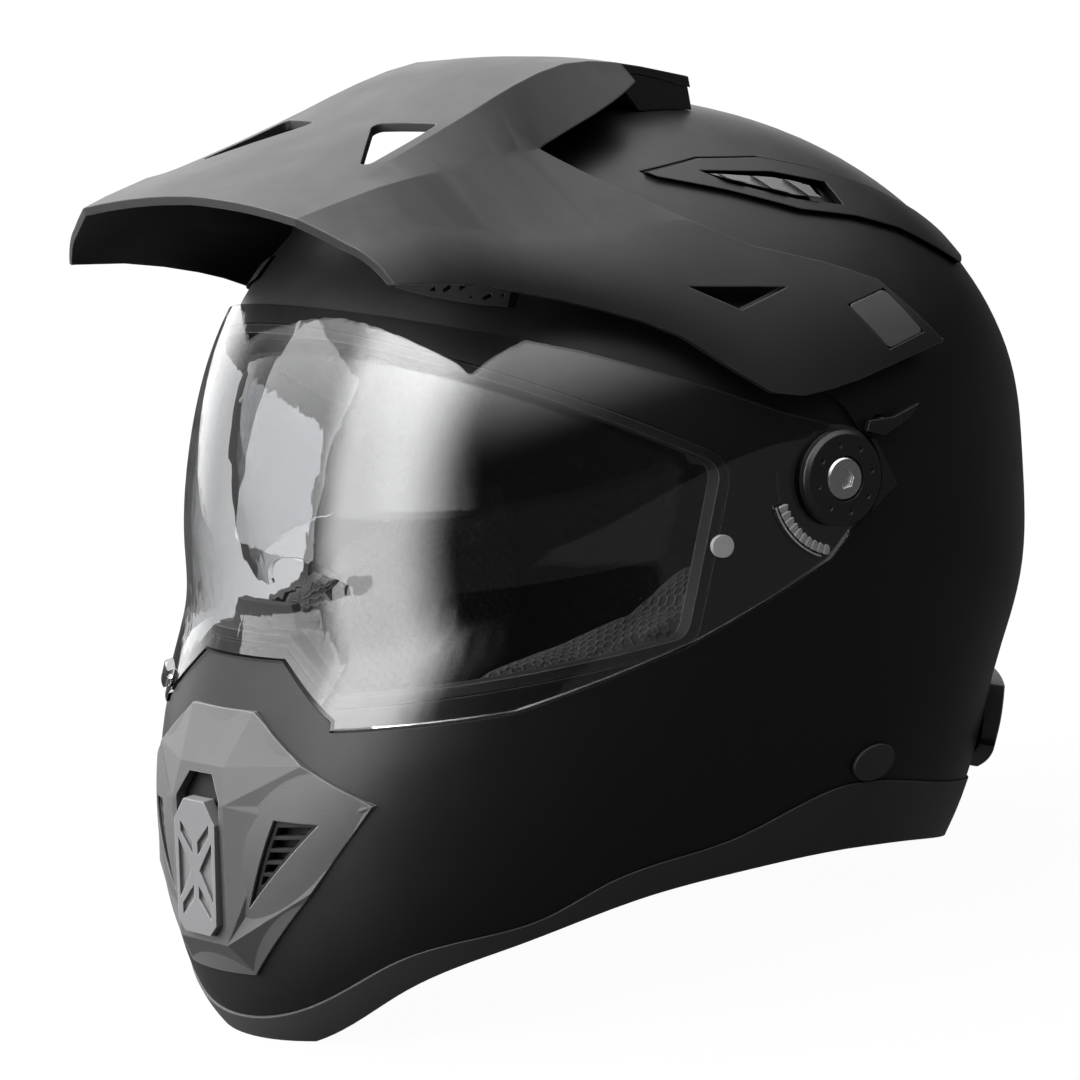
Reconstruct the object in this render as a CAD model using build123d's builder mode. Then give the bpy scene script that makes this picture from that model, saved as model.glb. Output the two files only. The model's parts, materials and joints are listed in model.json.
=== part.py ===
from build123d import *

import os
from functools import lru_cache
from math import atan2, cos, degrees, hypot, radians, sin

os.makedirs("parts", exist_ok=True)

# Dual sport helmet at rest on a table: +Z up, the face looks along -Y, +X is the wearer's left.
# The origin is on the table, under the middle of the whole helmet.

# Driving dimensions
RISE = 125.0            # shield pivot axis up to the crown
HALF_WIDTH = 126.0      # centre plane out to the shell's side
PIVOT_Z = 153.0         # shield pivot axis above the table
PIVOT_Y = 29.0          # shield pivot axis behind the middle of the helmet
RUNNING_GAP = 0.6       # between pieces that slide past each other
SEAT_GAP = 0.3          # between pieces that sit on each other
OVERRUN = 30.0          # how far cutting solids pass through what they cut

# Shell, trim and gasket
SHELL_WALL = 4.0
TRIM_PROUD = 0.8
TRIM_WALL = 6.0
EYEPORT_CORNER = 10.0
GASKET_WIDTH = 3.5
GASKET_DEPTH = 6.0
CAP_LENGTH = 17.5       # oval cap over a strap anchor
CAP_WIDTH = 12.0
CAP_PROUD = 1.6
CAP_STEM = 2.8
RIVET_RADIUS = 5.0
RIVET_WALL = 1.5

# Face shield
SHIELD_WALL = 2.2
SHIELD_PROUD = 1.2      # its outer face over the shell's skin
EAR_RADIUS = 17.5
PIVOT_HOLE_RADIUS = 9.0
POCKET_LIFT = 8.0       # degrees between the steps of the cleared pocket
POCKET_STEPS = 3
PIN_RADIUS = 3.7
PIN_PROUD = 1.5
TAB_LENGTH = 16.0
TAB_HEIGHT = 5.0
TAB_PROUD = 3.0

# Shield pivot
PLATE_RADIUS = 13.0
PLATE_WALL = 1.2
COVER_RADIUS = 16.0
COVER_WALL = 4.0
COVER_DOTS = 8
COVER_DOT_RADIUS = 0.9
COVER_DOT_RING = 11.2
SCREW_RADIUS = 7.2
SCREW_SOCKET = 3.4
SCREW_SHANK = 3.0
SCREW_DEPTH = 2.4
SCREW_CHAMFER = 0.8
COVER_CHAMFER = 1.4
COVER_DOT_DEPTH = 0.6
DETENT_TEETH = 9
DETENT_RADIUS = 24.5
DETENT_START = 188.0    # degrees round from the rear, through the crown
DETENT_SPAN = 54.0
DETENT_LENGTH = 3.0
DETENT_WIDTH = 1.4
DETENT_DEPTH = 0.8
SHIELD_TURN = 26.0      # degrees from closed to raised under the peak

# Impact liner, padding and inner visor
LINER_WALL = 30.0
PAD_WALL = 8.0
GUARD_WALL = 3.0
VISOR_NOSE_HALF = 26.0
VISOR_NOSE_RISE = 12.0
CHEEK_CORNER = 12.0
NECK_WALL = 18.0
VISOR_RADIUS = 104.0
VISOR_HALF_WIDTH = 106.0
VISOR_WALL = 2.0
VISOR_EAR = 7.0
VISOR_PIN = 3.0
VISOR_BACK = 28.0       # its axis ahead of the shield pivot
VISOR_UP = 4.0          # and above it
VISOR_ROOM = 1.5        # slot beyond each face of the visor

# Peak
PEAK_WALL = 3.0
POCKET_MARGIN = 1.0     # pocket beyond the shield edge
PEAK_CLEAR = 8.0        # arm's outer face over the shell's skin
TONGUE_HALF = 39.0
PLUG_SINK = 1.5
PLUG_STEM = 4.0
PLUG_FOOT = 6.0         # its stem's end below the shell's skin
WINDOW_CORNER = 2.5

# Vents and chin cover
VENT_PROUD = 1.6
VENT_SINK = 1.5
VENT_LEDGE = 2.4        # shell left under the edges of the slider
COVER_EDGE = 2.4        # chin cover's corners over the skin
COVER_LEAST = 1.3       # its least height anywhere
COVER_RISE = 6.0        # its middle over the skin
SLIDER_CLEAR = 1.2      # chin slider's back over the skin
SLIDER_PROUD = 0.6      # its face over the cover
RELIEF_DEPTH = 1.2
RIB_PITCH = 9.0
RIB_WIDTH = 3.0
RIB_DEPTH = 1.2
RIB_COUNT = 3
RIB_SLANT = 35.0        # degrees
GRILLE_WALL = 2.0
GRILLE_RIM = 1.5
GRILLE_BAR = 1.2
GRILLE_PITCH = 4.0
GRILLE_HOLE = 1.1
GRILLE_ROWS = 3
GRILLE_COLUMNS = 9
SPOILER_PROUD = 6.5
SPOILER_CORNER = 2.0

# Chin strap
STRAP_WIDTH = 24.0
STRAP_WALL = 1.8
STRAP_BEND = 20.0
BUCKLE_DROP = 132.5     # buckle below the shield pivot
BUCKLE_CORNER = 2.5
BUCKLE_PIN = 1.5
BUCKLE_LENGTH = 46.0
BUCKLE_WIDTH = 28.0
BUCKLE_HEIGHT = 9.0
LEVER_PIN = 2.5
LEVER_WALL = 2.0
BUCKLE_LEVER_LENGTH = 22.0
BUCKLE_LEVER_WIDTH = 16.0
BUCKLE_LEVER_WALL = 3.0

# Side view of the shell about the shield pivot:
# angle up from the front, radius as a share of RISE, bluntness of the coronal curve
SKIN_SHARES = (
    (-90, 1.57, 2.6), (-66, 1.70, 2.4), (-50, 1.86, 2.2), (-39.6, 1.90, 2.05), (-30.4, 1.765, 2.0),
    (-22.6, 1.61, 2.0), (-14, 1.40, 2.05), (-9.7, 1.30, 2.1), (0, 1.23, 2.1), (12, 1.19, 2.1),
    (34, 1.14, 2.1), (50, 1.09, 2.1), (65, 1.035, 2.1), (90, 1.0, 2.1), (114, 0.985, 2.2),
    (140, 1.02, 2.3), (158, 1.06, 2.4), (178, 1.105, 2.4), (192, 1.11, 2.4), (212, 1.175, 2.4),
    (228, 1.225, 2.4), (241, 1.36, 2.4), (256, 1.50, 2.5),
)
# Stations of the coronal curve, as shares of the half width
STATION_SHARES = (0, 0.35, 0.6, 0.78, 0.9, 0.965, 0.995)

# Side views, as (rearward, upward) shares of RISE from the shield pivot
EYEPORT_SHARES = ((-1.7, 1.128), (-0.288, 0.122), (-0.488, -0.328), (-1.7, -0.345))
SHIELD_SHARES = (
    (-1.7, 1.064), (-0.944, 0.652), (-0.575, 0.472), (-0.366, 0.352), (-0.12, 0.205), (0.02, 0.139),
    (0.05, -0.128), (-0.064, -0.204), (-0.49, -0.31), (-0.96, -0.388), (-1.7, -0.376),
)
SHELL_EDGE_SHARES = (
    (-1.8, -1.17), (-1.46, -1.133), (-1.29, -1.0), (-0.97, -0.956), (-0.80, -0.90), (-0.44, -0.877),
    (-0.07, -0.83), (0.19, -0.90), (0.58, -1.03), (1.4, -1.10),
)
TRIM_EDGE_SHARES = (
    (-1.8, -1.26), (-1.42, -1.235), (-1.28, -1.092), (-1.04, -1.016), (-0.71, -0.968), (-0.42, -0.976),
    (0.10, -1.05), (0.48, -1.17), (0.72, -1.245), (1.4, -1.26),
)
LINER_SHARES = (
    (-1.5, 1.2), (-0.99, 0.635), (-0.26, 0.14), (-0.22, -0.10), (0.10, -0.16), (0.10, -0.68), (0.2, -0.72),
    (0.68, -0.88), (1.4, -0.95), (1.4, 1.4), (-1.5, 1.4),
)
CHIN_LINER_SHARES = ((-1.7, -0.37), (-1.08, -0.38), (-1.06, -0.84), (-1.2, -0.93), (-1.7, -1.05))
CROWN_PAD_SHARES = ((-0.8, 0.42), (0.75, 0.1), (0.9, 0.2), (0.9, 0.8), (-0.8, 0.8))
CHEEK_SHARES = (
    (-1.03, -0.28), (-0.7, -0.27), (-0.47, -0.235), (-0.27, -0.165), (0.06, -0.22), (0.05, -0.50),
    (-0.14, -0.66), (-0.35, -0.80), (-0.75, -0.82), (-1.02, -0.62),
)
NECK_TOP_SHARES = ((0.14, -0.81), (0.3, -0.855), (0.5, -0.92), (1.3, -0.99))
NECK_LOW_SHARES = ((0.14, -1.09), (0.45, -1.18), (0.62, -1.215), (1.3, -1.215))
VISOR_SHARES = (
    (-1.3, -0.11), (-0.36, -0.11), (-0.22, -0.02), (-0.20, 0.09), (-0.34, 0.28), (-0.60, 0.50),
    (-0.80, 0.62), (-1.3, 0.66),
)
VISOR_SLOT_SHARES = ((-0.16, -0.04), (-0.5, -0.25), (-1.5, -0.3), (-1.5, 1.4), (0.5, 1.4), (-0.12, 0.10))
CURTAIN_SHARES = (
    (-1.50, -1.13), (-1.24, -1.03), (-0.95, -0.97), (-0.95, -0.955), (-1.24, -1.01), (-1.50, -1.11),
)
SPOILER_SHARES = ((0.60, -0.93), (0.78, -0.83), (1.5, -0.72), (1.5, -1.08), (0.9, -1.09), (0.70, -1.05))
POCKET_SWEEP_SHARES = (
    (0, 0), (-0.26, 0.2), (-0.28, 0.3), (-0.2, 0.4), (-0.09, 0.4), (0.01, 0.25), (0.075, 0.17), (0.105, 0.1),
)
WEDGE_SHARES = ((0.095, 0.085), (0.14, 0.071), (0.187, -0.064), (0.06, -0.13))
LEVER_SHARES = ((0.107, 0.10), (0.12, 0.125), (0.20, 0.115), (0.29, 0.13), (0.25, 0.10), (0.16, 0.075))

# Cheek pad: how far out, as a share of HALF_WIDTH, and how far its outline is drawn in, as a share of RISE
CHEEK_LAYER_SHARES = ((0.53, 0.085), (0.55, 0.045), (0.60, 0.015), (0.68, 0.0), (0.93, 0.0))

# Front views, as (shares of HALF_WIDTH, shares of RISE) from the shield pivot
BEAK_SHARES = ((0.17, -0.192), (0.405, -0.348), (0.405, -0.60))
NOTCH_SHARES = ((0.19, -0.22), (0.40, -0.362), (0.44, -0.60))
GUARD_SHARES = ((0.13, -0.10), (0.15, -0.16), (0.24, -0.17), (0.30, -0.36))
SLOT_SHARES = ((0.055, -0.49), (0.105, -0.555), (0.098, -0.88), (0.065, -0.912))

FACE_SHARE = 0.7         # ahead of the pivot, where front view cuts begin

# Chin cover: (share of HALF_WIDTH across, share of RISE up) of the left half's corners
CHIN_TOP = (0.15, -0.34)
CHIN_SHOULDER = (0.345, -0.465)
CHIN_POINT = (0.53, -0.577)
CHIN_FLANK = (0.375, -0.79)
CHIN_FOOT = (0.155, -1.02)
CHIN_BROW = (0.105, -0.468)
CHIN_RIM = (0.125, -0.562)
CHIN_SOLE = (0.115, -0.93)
INLET_HOLE_SHARES = ((0.275, -0.60), (0.40, -0.615), (0.18, -0.835))
SLIDER_SHARES = ((0.05, -0.556), (0.0995, -0.614), (0.093, -0.8775), (0.0615, -0.907))
RELIEF_SIDE_SHARES = ((0.082, -0.66), (0.082, -0.82), (0.018, -0.74))
RELIEF_END_SHARES = ((0.012, -0.70), (0.07, -0.645), (0.07, -0.615), (0.012, -0.665))
RELIEF_FOOT_SHARES = ((0.012, -0.78), (0.07, -0.835), (0.07, -0.865), (0.012, -0.815))

# Forehead grille, front view of the left half
BROW_GRILLE_SHARES = ((0.32, 0.735), (0.60, 0.65), (0.62, 0.60), (0.34, 0.68))
BROW_GRILLE_CENTRE = (0.47, 0.666)

# Top vents, side view in shares of RISE
BEZEL_SHARES = (
    (-0.135, 0.84), (0.04, 0.838), (0.22, 0.80), (0.41, 0.722), (0.56, 0.645), (0.72, 0.54), (0.86, 0.43),
    (0.86, 0.385), (0.77, 0.385), (0.54, 0.537), (0.39, 0.605), (0.21, 0.665), (0.03, 0.757), (-0.12, 0.825),
)
VENT_WINDOW_SHARES = ((0.0, 0.815), (0.21, 0.765), (0.37, 0.70), (0.37, 0.64), (0.22, 0.69), (0.05, 0.772))
VENT_SLIDER_SHARES = ((0.02, 0.803), (0.20, 0.752), (0.30, 0.708), (0.30, 0.675), (0.22, 0.702), (0.06, 0.778))

# Coronal sections of the peak: rearward share of RISE, height of the middle (share of RISE), then
# ridge, crease, waist and edge, each as a share of HALF_WIDTH and one of RISE, then the bow of the
# arm (share of RISE)
PEAK_SHARES = (
    (-1.22, 0.996, 0.516, 0.958, 0.523, 0.955, 0.667, 0.884, 0.806, 0.796, 0.010),
    (-0.96, 1.037, 0.466, 1.002, 0.567, 0.988, 0.694, 0.884, 0.794, 0.745, 0.014),
    (-0.73, 1.074, 0.421, 1.044, 0.532, 0.980, 0.698, 0.820, 0.794, 0.665, 0.018),
    (-0.53, 1.112, 0.393, 1.085, 0.500, 0.968, 0.738, 0.768, 0.860, 0.572, 0.024),
    (-0.36, 1.144, 0.371, 1.122, 0.468, 0.957, 0.772, 0.750, 0.940, 0.464, 0.030),
    (-0.176, 1.150, 0.349, 1.140, 0.500, 0.950, 0.805, 0.728, 1.030, 0.275, 0.034),
    (0.0, 1.120, 0.335, 1.105, 0.560, 0.900, 0.890, 0.616, 1.048, 0.242, 0.024),
    (0.20, 1.050, 0.310, 1.032, 0.600, 0.820, 0.928, 0.520, 1.036, 0.252, 0.016),
    (0.43, 0.960, 0.285, 0.944, 0.640, 0.700, 0.945, 0.385, 0.990, 0.262, 0.008),
)
# Inward and downward shares of the wall at the edge, flank, waist, crease and ridge
PEAK_INWARD_SHARES = ((1.0, 0.1), (0.9, 0.44), (0.75, 0.66), (0.6, 0.8), (0.35, 0.94))
PEAK_FRONT_SHARES = ((-1.25, -0.9), (-0.95, -1.06), (-0.785, -1.118), (-0.52, -1.196), (0, -1.182))
ARM_TOP_SHARES = (
    (-0.385, 0.957), (-0.32, 0.872), (-0.19, 0.732), (-0.06, 0.635), (0.134, 0.546), (0.286, 0.464),
    (0.425, 0.27), (0.6, 0.27), (0.6, 1.3), (0.016, 1.3), (0.016, 1.05),
)
ARM_REAR_SHARES = ((0.07, 0.545), (0.28, 0.44), (0.405, 0.275), (0.07, 0.25))
WINDOW_SHARES = ((0.41, -0.91), (0.365, -0.61), (0.135, -0.665))
SIDE_VENT_SHARES = ((-0.30, 0.582), (-0.02, 0.516), (-0.18, 0.493))
PLUG_SHARES = ((0.142, 0.43), (0.288, 0.437), (0.363, 0.306), (0.223, 0.295))
PEAK_REAR_SHARES = ((0.252, 0.6), (0.24, 1.4), (0.7, 1.4), (0.7, 0.6))
PLUG_CENTRE = (0.255, 0.368)
VISOR_LEVER_AXIS = (0.172, 0.10)
RIB_CENTRE = (0.17, 0.735)
CAP_CENTRE = (0.016, -0.79)
PIN_CENTRE = (-0.382, -0.086)
STRAP_SHARES = ((0.895, -0.70), (0.861, -0.825), (0.73, -0.955), (0.476, -1.035))
MOUNT_SHARES = (
    (0.075, 0.85), (0.072, 0.955), (0.016, 1.05), (0.016, 1.2), (0.234, 1.2), (0.24, 0.96), (0.24, 0.85),
)

FULL_TURN = 360
REACH = 2 * RISE + OVERRUN
ACROSS = HALF_WIDTH + OVERRUN


def side_plane(x=0.0):
    """Side view about the shield pivot: local X runs to the rear, local Y up"""
    return Plane(origin=(x, PIVOT_Y, PIVOT_Z), x_dir=(0, 1, 0), z_dir=(1, 0, 0))


def front_plane(ahead=0.0):
    """Front view about the shield pivot: local X to the wearer's left, local Y up"""
    return Plane(origin=(0, PIVOT_Y - ahead, PIVOT_Z), x_dir=(1, 0, 0), z_dir=(0, -1, 0))


def top_plane(up=0.0):
    """Plan view about the shield pivot: local X to the wearer's left, local Y to the rear"""
    return Plane(origin=(0, PIVOT_Y, PIVOT_Z + up), x_dir=(1, 0, 0), z_dir=(0, 0, 1))


def skin_radius(angle_row, share, grow):
    """Radius of the skin about the pivot axis at a share of its half width"""
    angle, radius_share, bluntness = angle_row
    return (radius_share * RISE + grow) * (1 - share**bluntness) ** (1 / bluntness)


def skin_points(rows, share, grow):
    """Points of the side view of the skin at a share of its half width"""
    points = []
    for row in rows:
        radius = skin_radius(row, share, grow)
        points.append((-radius * cos(radians(row[0])), radius * sin(radians(row[0]))))
    return points


def denser(rows):
    """The same rows with one more between each two, on the smooth curve through their neighbours"""
    ends = [rows[0], *rows, rows[-1]]
    result = []
    for before, low, high, after in zip(ends, ends[1:], ends[2:], ends[3:]):
        result.append(low)
        result.append([(9 * (b + c) - a - d) / 16 for a, b, c, d in zip(before, low, high, after)])
    return result + [rows[-1]]


STATIONS = [-share for share in reversed(STATION_SHARES[1:])] + list(STATION_SHARES)


@lru_cache
def skin(grow):
    """Closed solid of the helmet's outer form, grown outward by a length"""
    turns = [row[0] for row in SKIN_SHARES] + [SKIN_SHARES[0][0] + FULL_TURN]
    with BuildPart() as form:
        for share in STATIONS:
            points = [Vector(*point) for point in skin_points(SKIN_SHARES, abs(share), grow)]
            with BuildSketch(side_plane(share * (HALF_WIDTH + grow))):
                with BuildLine():
                    add(Edge.make_spline(points, periodic=True, parameters=turns))
                make_face()
        loft()
    return form.part


@lru_cache
def lining(grow):
    """Closed solid of the same form in flat facets, for what lies hidden under the shell"""
    rows = denser(SKIN_SHARES)
    with BuildPart() as form:
        for share in STATIONS:
            with BuildSketch(side_plane(share * (HALF_WIDTH + grow))):
                with BuildLine():
                    Polyline(*skin_points(rows, abs(share), grow), close=True)
                make_face()
        loft(ruled=True)
    return form.part


def cap(grow):
    """Height over the centre plane of the skin's flat side, grown outward by a length"""
    return STATION_SHARES[-1] * (HALF_WIDTH + grow)


def scaled(shares, across, up=RISE):
    """Outline points from pairs of shares"""
    return [(a * across, b * up) for a, b in shares]


def mirrored(shares):
    """A right half outline followed by its mirror image, closing over the centre line"""
    return list(shares) + [(-a, b) for a, b in reversed(shares)]


def side_prism(shares, corner=0.0, margin=0.0, lift=0.0, start=-ACROSS, end=ACROSS):
    """Solid of a side view outline, running across the helmet between two heights over its middle"""
    with BuildPart() as solid:
        with BuildSketch(side_plane(start)) as outline:
            with BuildLine(Location((0, 0, 0), (0, 0, -lift))):
                Polyline(*scaled(shares, RISE), close=True)
            make_face()
            if corner:
                fillet(outline.vertices(), corner)
            if margin:
                offset(amount=margin, kind=Kind.INTERSECTION)
        extrude(amount=end - start)
    return solid.part


def edge_prism(shares):
    """Solid above a smooth side view edge, running right across the helmet"""
    points = scaled(shares, RISE)
    with BuildPart() as solid:
        with BuildSketch(side_plane(-ACROSS)):
            with BuildLine():
                Spline(*points)
                Polyline(points[-1], (points[-1][0], REACH), (points[0][0], REACH), points[0])
            make_face()
        extrude(amount=2 * ACROSS)
    return solid.part


def front_prism(shares, margin=0.0, start=0.0, depth=REACH):
    """Solid of a symmetric front view outline, running forward from a distance ahead of the pivot"""
    with BuildPart() as solid:
        with BuildSketch(front_plane(start)):
            with BuildLine():
                Polyline(*scaled(mirrored(shares), HALF_WIDTH), close=True)
            make_face()
            if margin:
                offset(amount=margin, kind=Kind.INTERSECTION)
        extrude(amount=depth)
    return solid.part


def side_cylinder(radius, start, end, back=0.0, up=0.0):
    """Round solid along X between two heights over the centre plane"""
    with BuildPart() as solid:
        with BuildSketch(side_plane(start)):
            with Locations((back, up)):
                Circle(radius)
        extrude(amount=end - start)
    return solid.part


def band(outer, inner, form=skin):
    """Solid between two grown skins"""
    with BuildPart() as solid:
        add(form(outer))
        add(form(inner), mode=Mode.SUBTRACT)
    return solid.part


def pair(piece, name):
    """Labels and writes a piece of the left side and its mirror image on the right"""
    for side, half in (("left", piece), ("right", mirror(piece, about=Plane.YZ))):
        half.label = f"{side}_{name}"
        export_step(half, f"parts/{side}_{name}.step")


def write(piece, name):
    """Labels and writes a piece that stands once"""
    piece.label = name
    export_step(piece, f"parts/{name}.step")


# Heights over the centre plane at the shield pivot, from the inside out
SHIELD_SINK = SHIELD_WALL - SHIELD_PROUD + RUNNING_GAP
POCKET_FLOOR = cap(-SHIELD_SINK)
RECESS_FLOOR = POCKET_FLOOR - PLATE_WALL - SEAT_GAP
SHIELD_TOP = cap(SHIELD_PROUD)
COVER_FLOOR = SHIELD_TOP + SEAT_GAP
LINED_DEPTH = SHIELD_SINK + GASKET_DEPTH + SEAT_GAP


def eyeport(inset):
    """Opening of the eyeport with the chin bar's nose left standing, drawn in by a length"""
    with BuildPart() as solid:
        add(side_prism(EYEPORT_SHARES, corner=EYEPORT_CORNER, margin=-inset))
        add(front_prism(BEAK_SHARES, margin=inset, start=FACE_SHARE * RISE), mode=Mode.SUBTRACT)
    return solid.part


def shield_outline(margin, lifts):
    """Solid over the shield's side view, grown by a margin and raised in steps"""
    with BuildPart() as solid:
        for lift in lifts:
            add(side_prism(SHIELD_SHARES, margin=margin, lift=lift))
        add(side_cylinder(EAR_RADIUS + margin, -ACROSS, ACROSS))
        add(front_prism(NOTCH_SHARES, margin=-margin, start=FACE_SHARE * RISE), mode=Mode.SUBTRACT)
    return solid.part


# Pocket that the shield lies in and rises through
with BuildPart() as shield_pocket:
    add(shield_outline(POCKET_MARGIN, [step * POCKET_LIFT for step in range(POCKET_STEPS)]))
    add(side_prism(POCKET_SWEEP_SHARES))
    add(band(PEAK_CLEAR, -SHIELD_SINK), mode=Mode.INTERSECT)

# Plate recess: round the pivot and out under the wedge
with BuildPart() as plate_recess:
    with BuildSketch(side_plane(RECESS_FLOOR)):
        Circle(PLATE_RADIUS + SEAT_GAP)
        with BuildLine():
            Polyline(*scaled(WEDGE_SHARES, RISE), close=True)
        wedge_outline = make_face(mode=Mode.PRIVATE)
        add(offset(wedge_outline, amount=SEAT_GAP, kind=Kind.INTERSECTION, mode=Mode.PRIVATE))
    extrude(amount=OVERRUN)


def facets(corners, depth):
    """Solid behind flat facets, each a ring of points, run back along +Y"""
    with BuildPart() as solid:
        for ring in corners:
            outline = Wire.make_polygon([Vector(*corner) for corner in ring], close=True)
            extrude(Face(outline), amount=depth, dir=(0, 1, 0))
    return solid.part


def skin_reach(x, z, grow):
    """How far ahead of the pivot the skin lies at a front view point"""
    near, far = FACE_SHARE * RISE, REACH
    while far - near > RUNNING_GAP / 10:
        reach = (near + far) / 2
        angle = degrees(atan2(z, reach))
        for low, high in zip(SKIN_SHARES, SKIN_SHARES[1:]):
            if low[0] <= angle <= high[0]:
                along = (angle - low[0]) / (high[0] - low[0])
                radius, bluntness = (low[i] + along * (high[i] - low[i]) for i in (1, 2))
        size = (hypot(reach, z) / (radius * RISE + grow)) ** bluntness
        if size + (abs(x) / (HALF_WIDTH + grow)) ** bluntness < 1:
            near = reach
        else:
            far = reach
    return near


def on_chin(place, grow):
    """Point over the skin of the chin from its front view place, in shares, and its height"""
    x, z = place[0] * HALF_WIDTH, place[1] * RISE
    return (x, PIVOT_Y - skin_reach(x, z, grow), PIVOT_Z + z)


def middle(point):
    """A point brought onto the centre plane"""
    return (0, point[1], point[2])


def chin_prism(shares, margin=0.0, start=FACE_SHARE * RISE):
    """Solid over a left half outline of the front view, running forward"""
    with BuildPart() as solid:
        with BuildSketch(front_plane(start)):
            with BuildLine():
                Polyline(*scaled(shares, HALF_WIDTH), close=True)
            make_face()
            if margin:
                offset(amount=margin, kind=Kind.INTERSECTION)
        extrude(amount=REACH)
    return solid.part


def both(piece):
    """A piece of the left side together with its mirror image"""
    return piece + mirror(piece, about=Plane.YZ)


def left_half(piece):
    """What lies on the wearer's left of the centre plane"""
    with BuildPart() as solid:
        add(piece)
        split(bisect_by=Plane.YZ, keep=Keep.TOP)
    return solid.part


# Chin cover's corners: the edge lies low on the skin, the brow and sole carry the raised middle
top, shoulder, point, flank, foot = (
    on_chin(place, COVER_EDGE) for place in (CHIN_TOP, CHIN_SHOULDER, CHIN_POINT, CHIN_FLANK, CHIN_FOOT)
)
brow, rim, sole = (on_chin(place, COVER_RISE) for place in (CHIN_BROW, CHIN_RIM, CHIN_SOLE))
hole_top, hole_side, hole_foot = (on_chin(place, SEAT_GAP) for place in INLET_HOLE_SHARES)
COVER_FACETS = [
    (middle(top), top, brow, middle(brow)), (middle(brow), brow, rim, middle(rim)),
    (middle(rim), rim, sole, middle(sole)), (middle(sole), sole, foot, middle(foot)),
    (top, shoulder, brow), (brow, shoulder, rim), (rim, shoulder, point),
    (point, flank, sole), (flank, foot, sole),
    (rim, point, hole_side), (rim, hole_side, hole_top), (point, sole, hole_foot),
    (point, hole_foot, hole_side), (sole, rim, hole_top), (sole, hole_top, hole_foot),
]
COVER_SHARES = (CHIN_TOP, CHIN_SHOULDER, CHIN_POINT, CHIN_FLANK, CHIN_FOOT)

inlet_hole = chin_prism(INLET_HOLE_SHARES)
with BuildPart() as chin_vent_cover:
    add(both(facets(COVER_FACETS, OVERRUN)))
    add(front_prism(COVER_SHARES, start=FACE_SHARE * RISE) & skin(COVER_LEAST))
    add(skin(SEAT_GAP), mode=Mode.SUBTRACT)
    add(both(inlet_hole), mode=Mode.SUBTRACT)
    add(front_prism(SLOT_SHARES, start=FACE_SHARE * RISE), mode=Mode.SUBTRACT)
write(chin_vent_cover.part, "chin_vent_cover")

# Ribbed grille behind each chin inlet, let into the shell
with BuildPart() as grille_slots:
    with BuildSketch(front_plane(FACE_SHARE * RISE)):
        with BuildLine():
            Polyline(*scaled(INLET_HOLE_SHARES, HALF_WIDTH), close=True)
        make_face()
        offset(amount=-GRILLE_RIM, kind=Kind.INTERSECTION)
        with Locations((INLET_HOLE_SHARES[0][0] * HALF_WIDTH, INLET_HOLE_SHARES[0][1] * RISE)):
            with GridLocations(GRILLE_PITCH, GRILLE_PITCH, 1, 2 * GRILLE_COLUMNS):
                Rectangle(HALF_WIDTH, GRILLE_BAR, mode=Mode.SUBTRACT)
    extrude(amount=REACH)
with BuildPart() as inlet_grille:
    add(chin_prism(INLET_HOLE_SHARES, margin=-SEAT_GAP))
    add(band(-SEAT_GAP, -SEAT_GAP - GRILLE_WALL), mode=Mode.INTERSECT)
    add(grille_slots.part, mode=Mode.SUBTRACT)
pair(inlet_grille.part, "inlet_grille")

# Chin slider: fills the slot but for its travel, with a crossed relief
slider_top = on_chin((0, SLIDER_SHARES[0][1]), COVER_RISE + SLIDER_PROUD)
slider_foot = on_chin((0, SLIDER_SHARES[-1][1]), COVER_RISE + SLIDER_PROUD)
slope = degrees(atan2(slider_top[1] - slider_foot[1], slider_top[2] - slider_foot[2]))
slider_normal = (0, -cos(radians(slope)), sin(radians(slope)))
slider_face = Plane(origin=slider_foot, x_dir=(1, 0, 0), z_dir=slider_normal)
with BuildPart() as relief:
    with BuildSketch(front_plane(FACE_SHARE * RISE)):
        for outline in (RELIEF_SIDE_SHARES, RELIEF_END_SHARES, RELIEF_FOOT_SHARES):
            for flip in (1, -1):
                with BuildLine():
                    Polyline(*[(flip * a, b) for a, b in scaled(outline, HALF_WIDTH)], close=True)
                make_face()
    extrude(amount=REACH)
with BuildPart() as chin_vent_slider:
    add(front_prism(SLIDER_SHARES, start=FACE_SHARE * RISE))
    add(skin(SLIDER_CLEAR), mode=Mode.SUBTRACT)
    split(bisect_by=slider_face, keep=Keep.BOTTOM)
with BuildPart() as relief_floor:
    add(relief.part)
    split(bisect_by=slider_face.offset(-RELIEF_DEPTH), keep=Keep.TOP)
chin_vent_slider.part = chin_vent_slider.part - relief_floor.part
write(chin_vent_slider.part, "chin_vent_slider")

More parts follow.
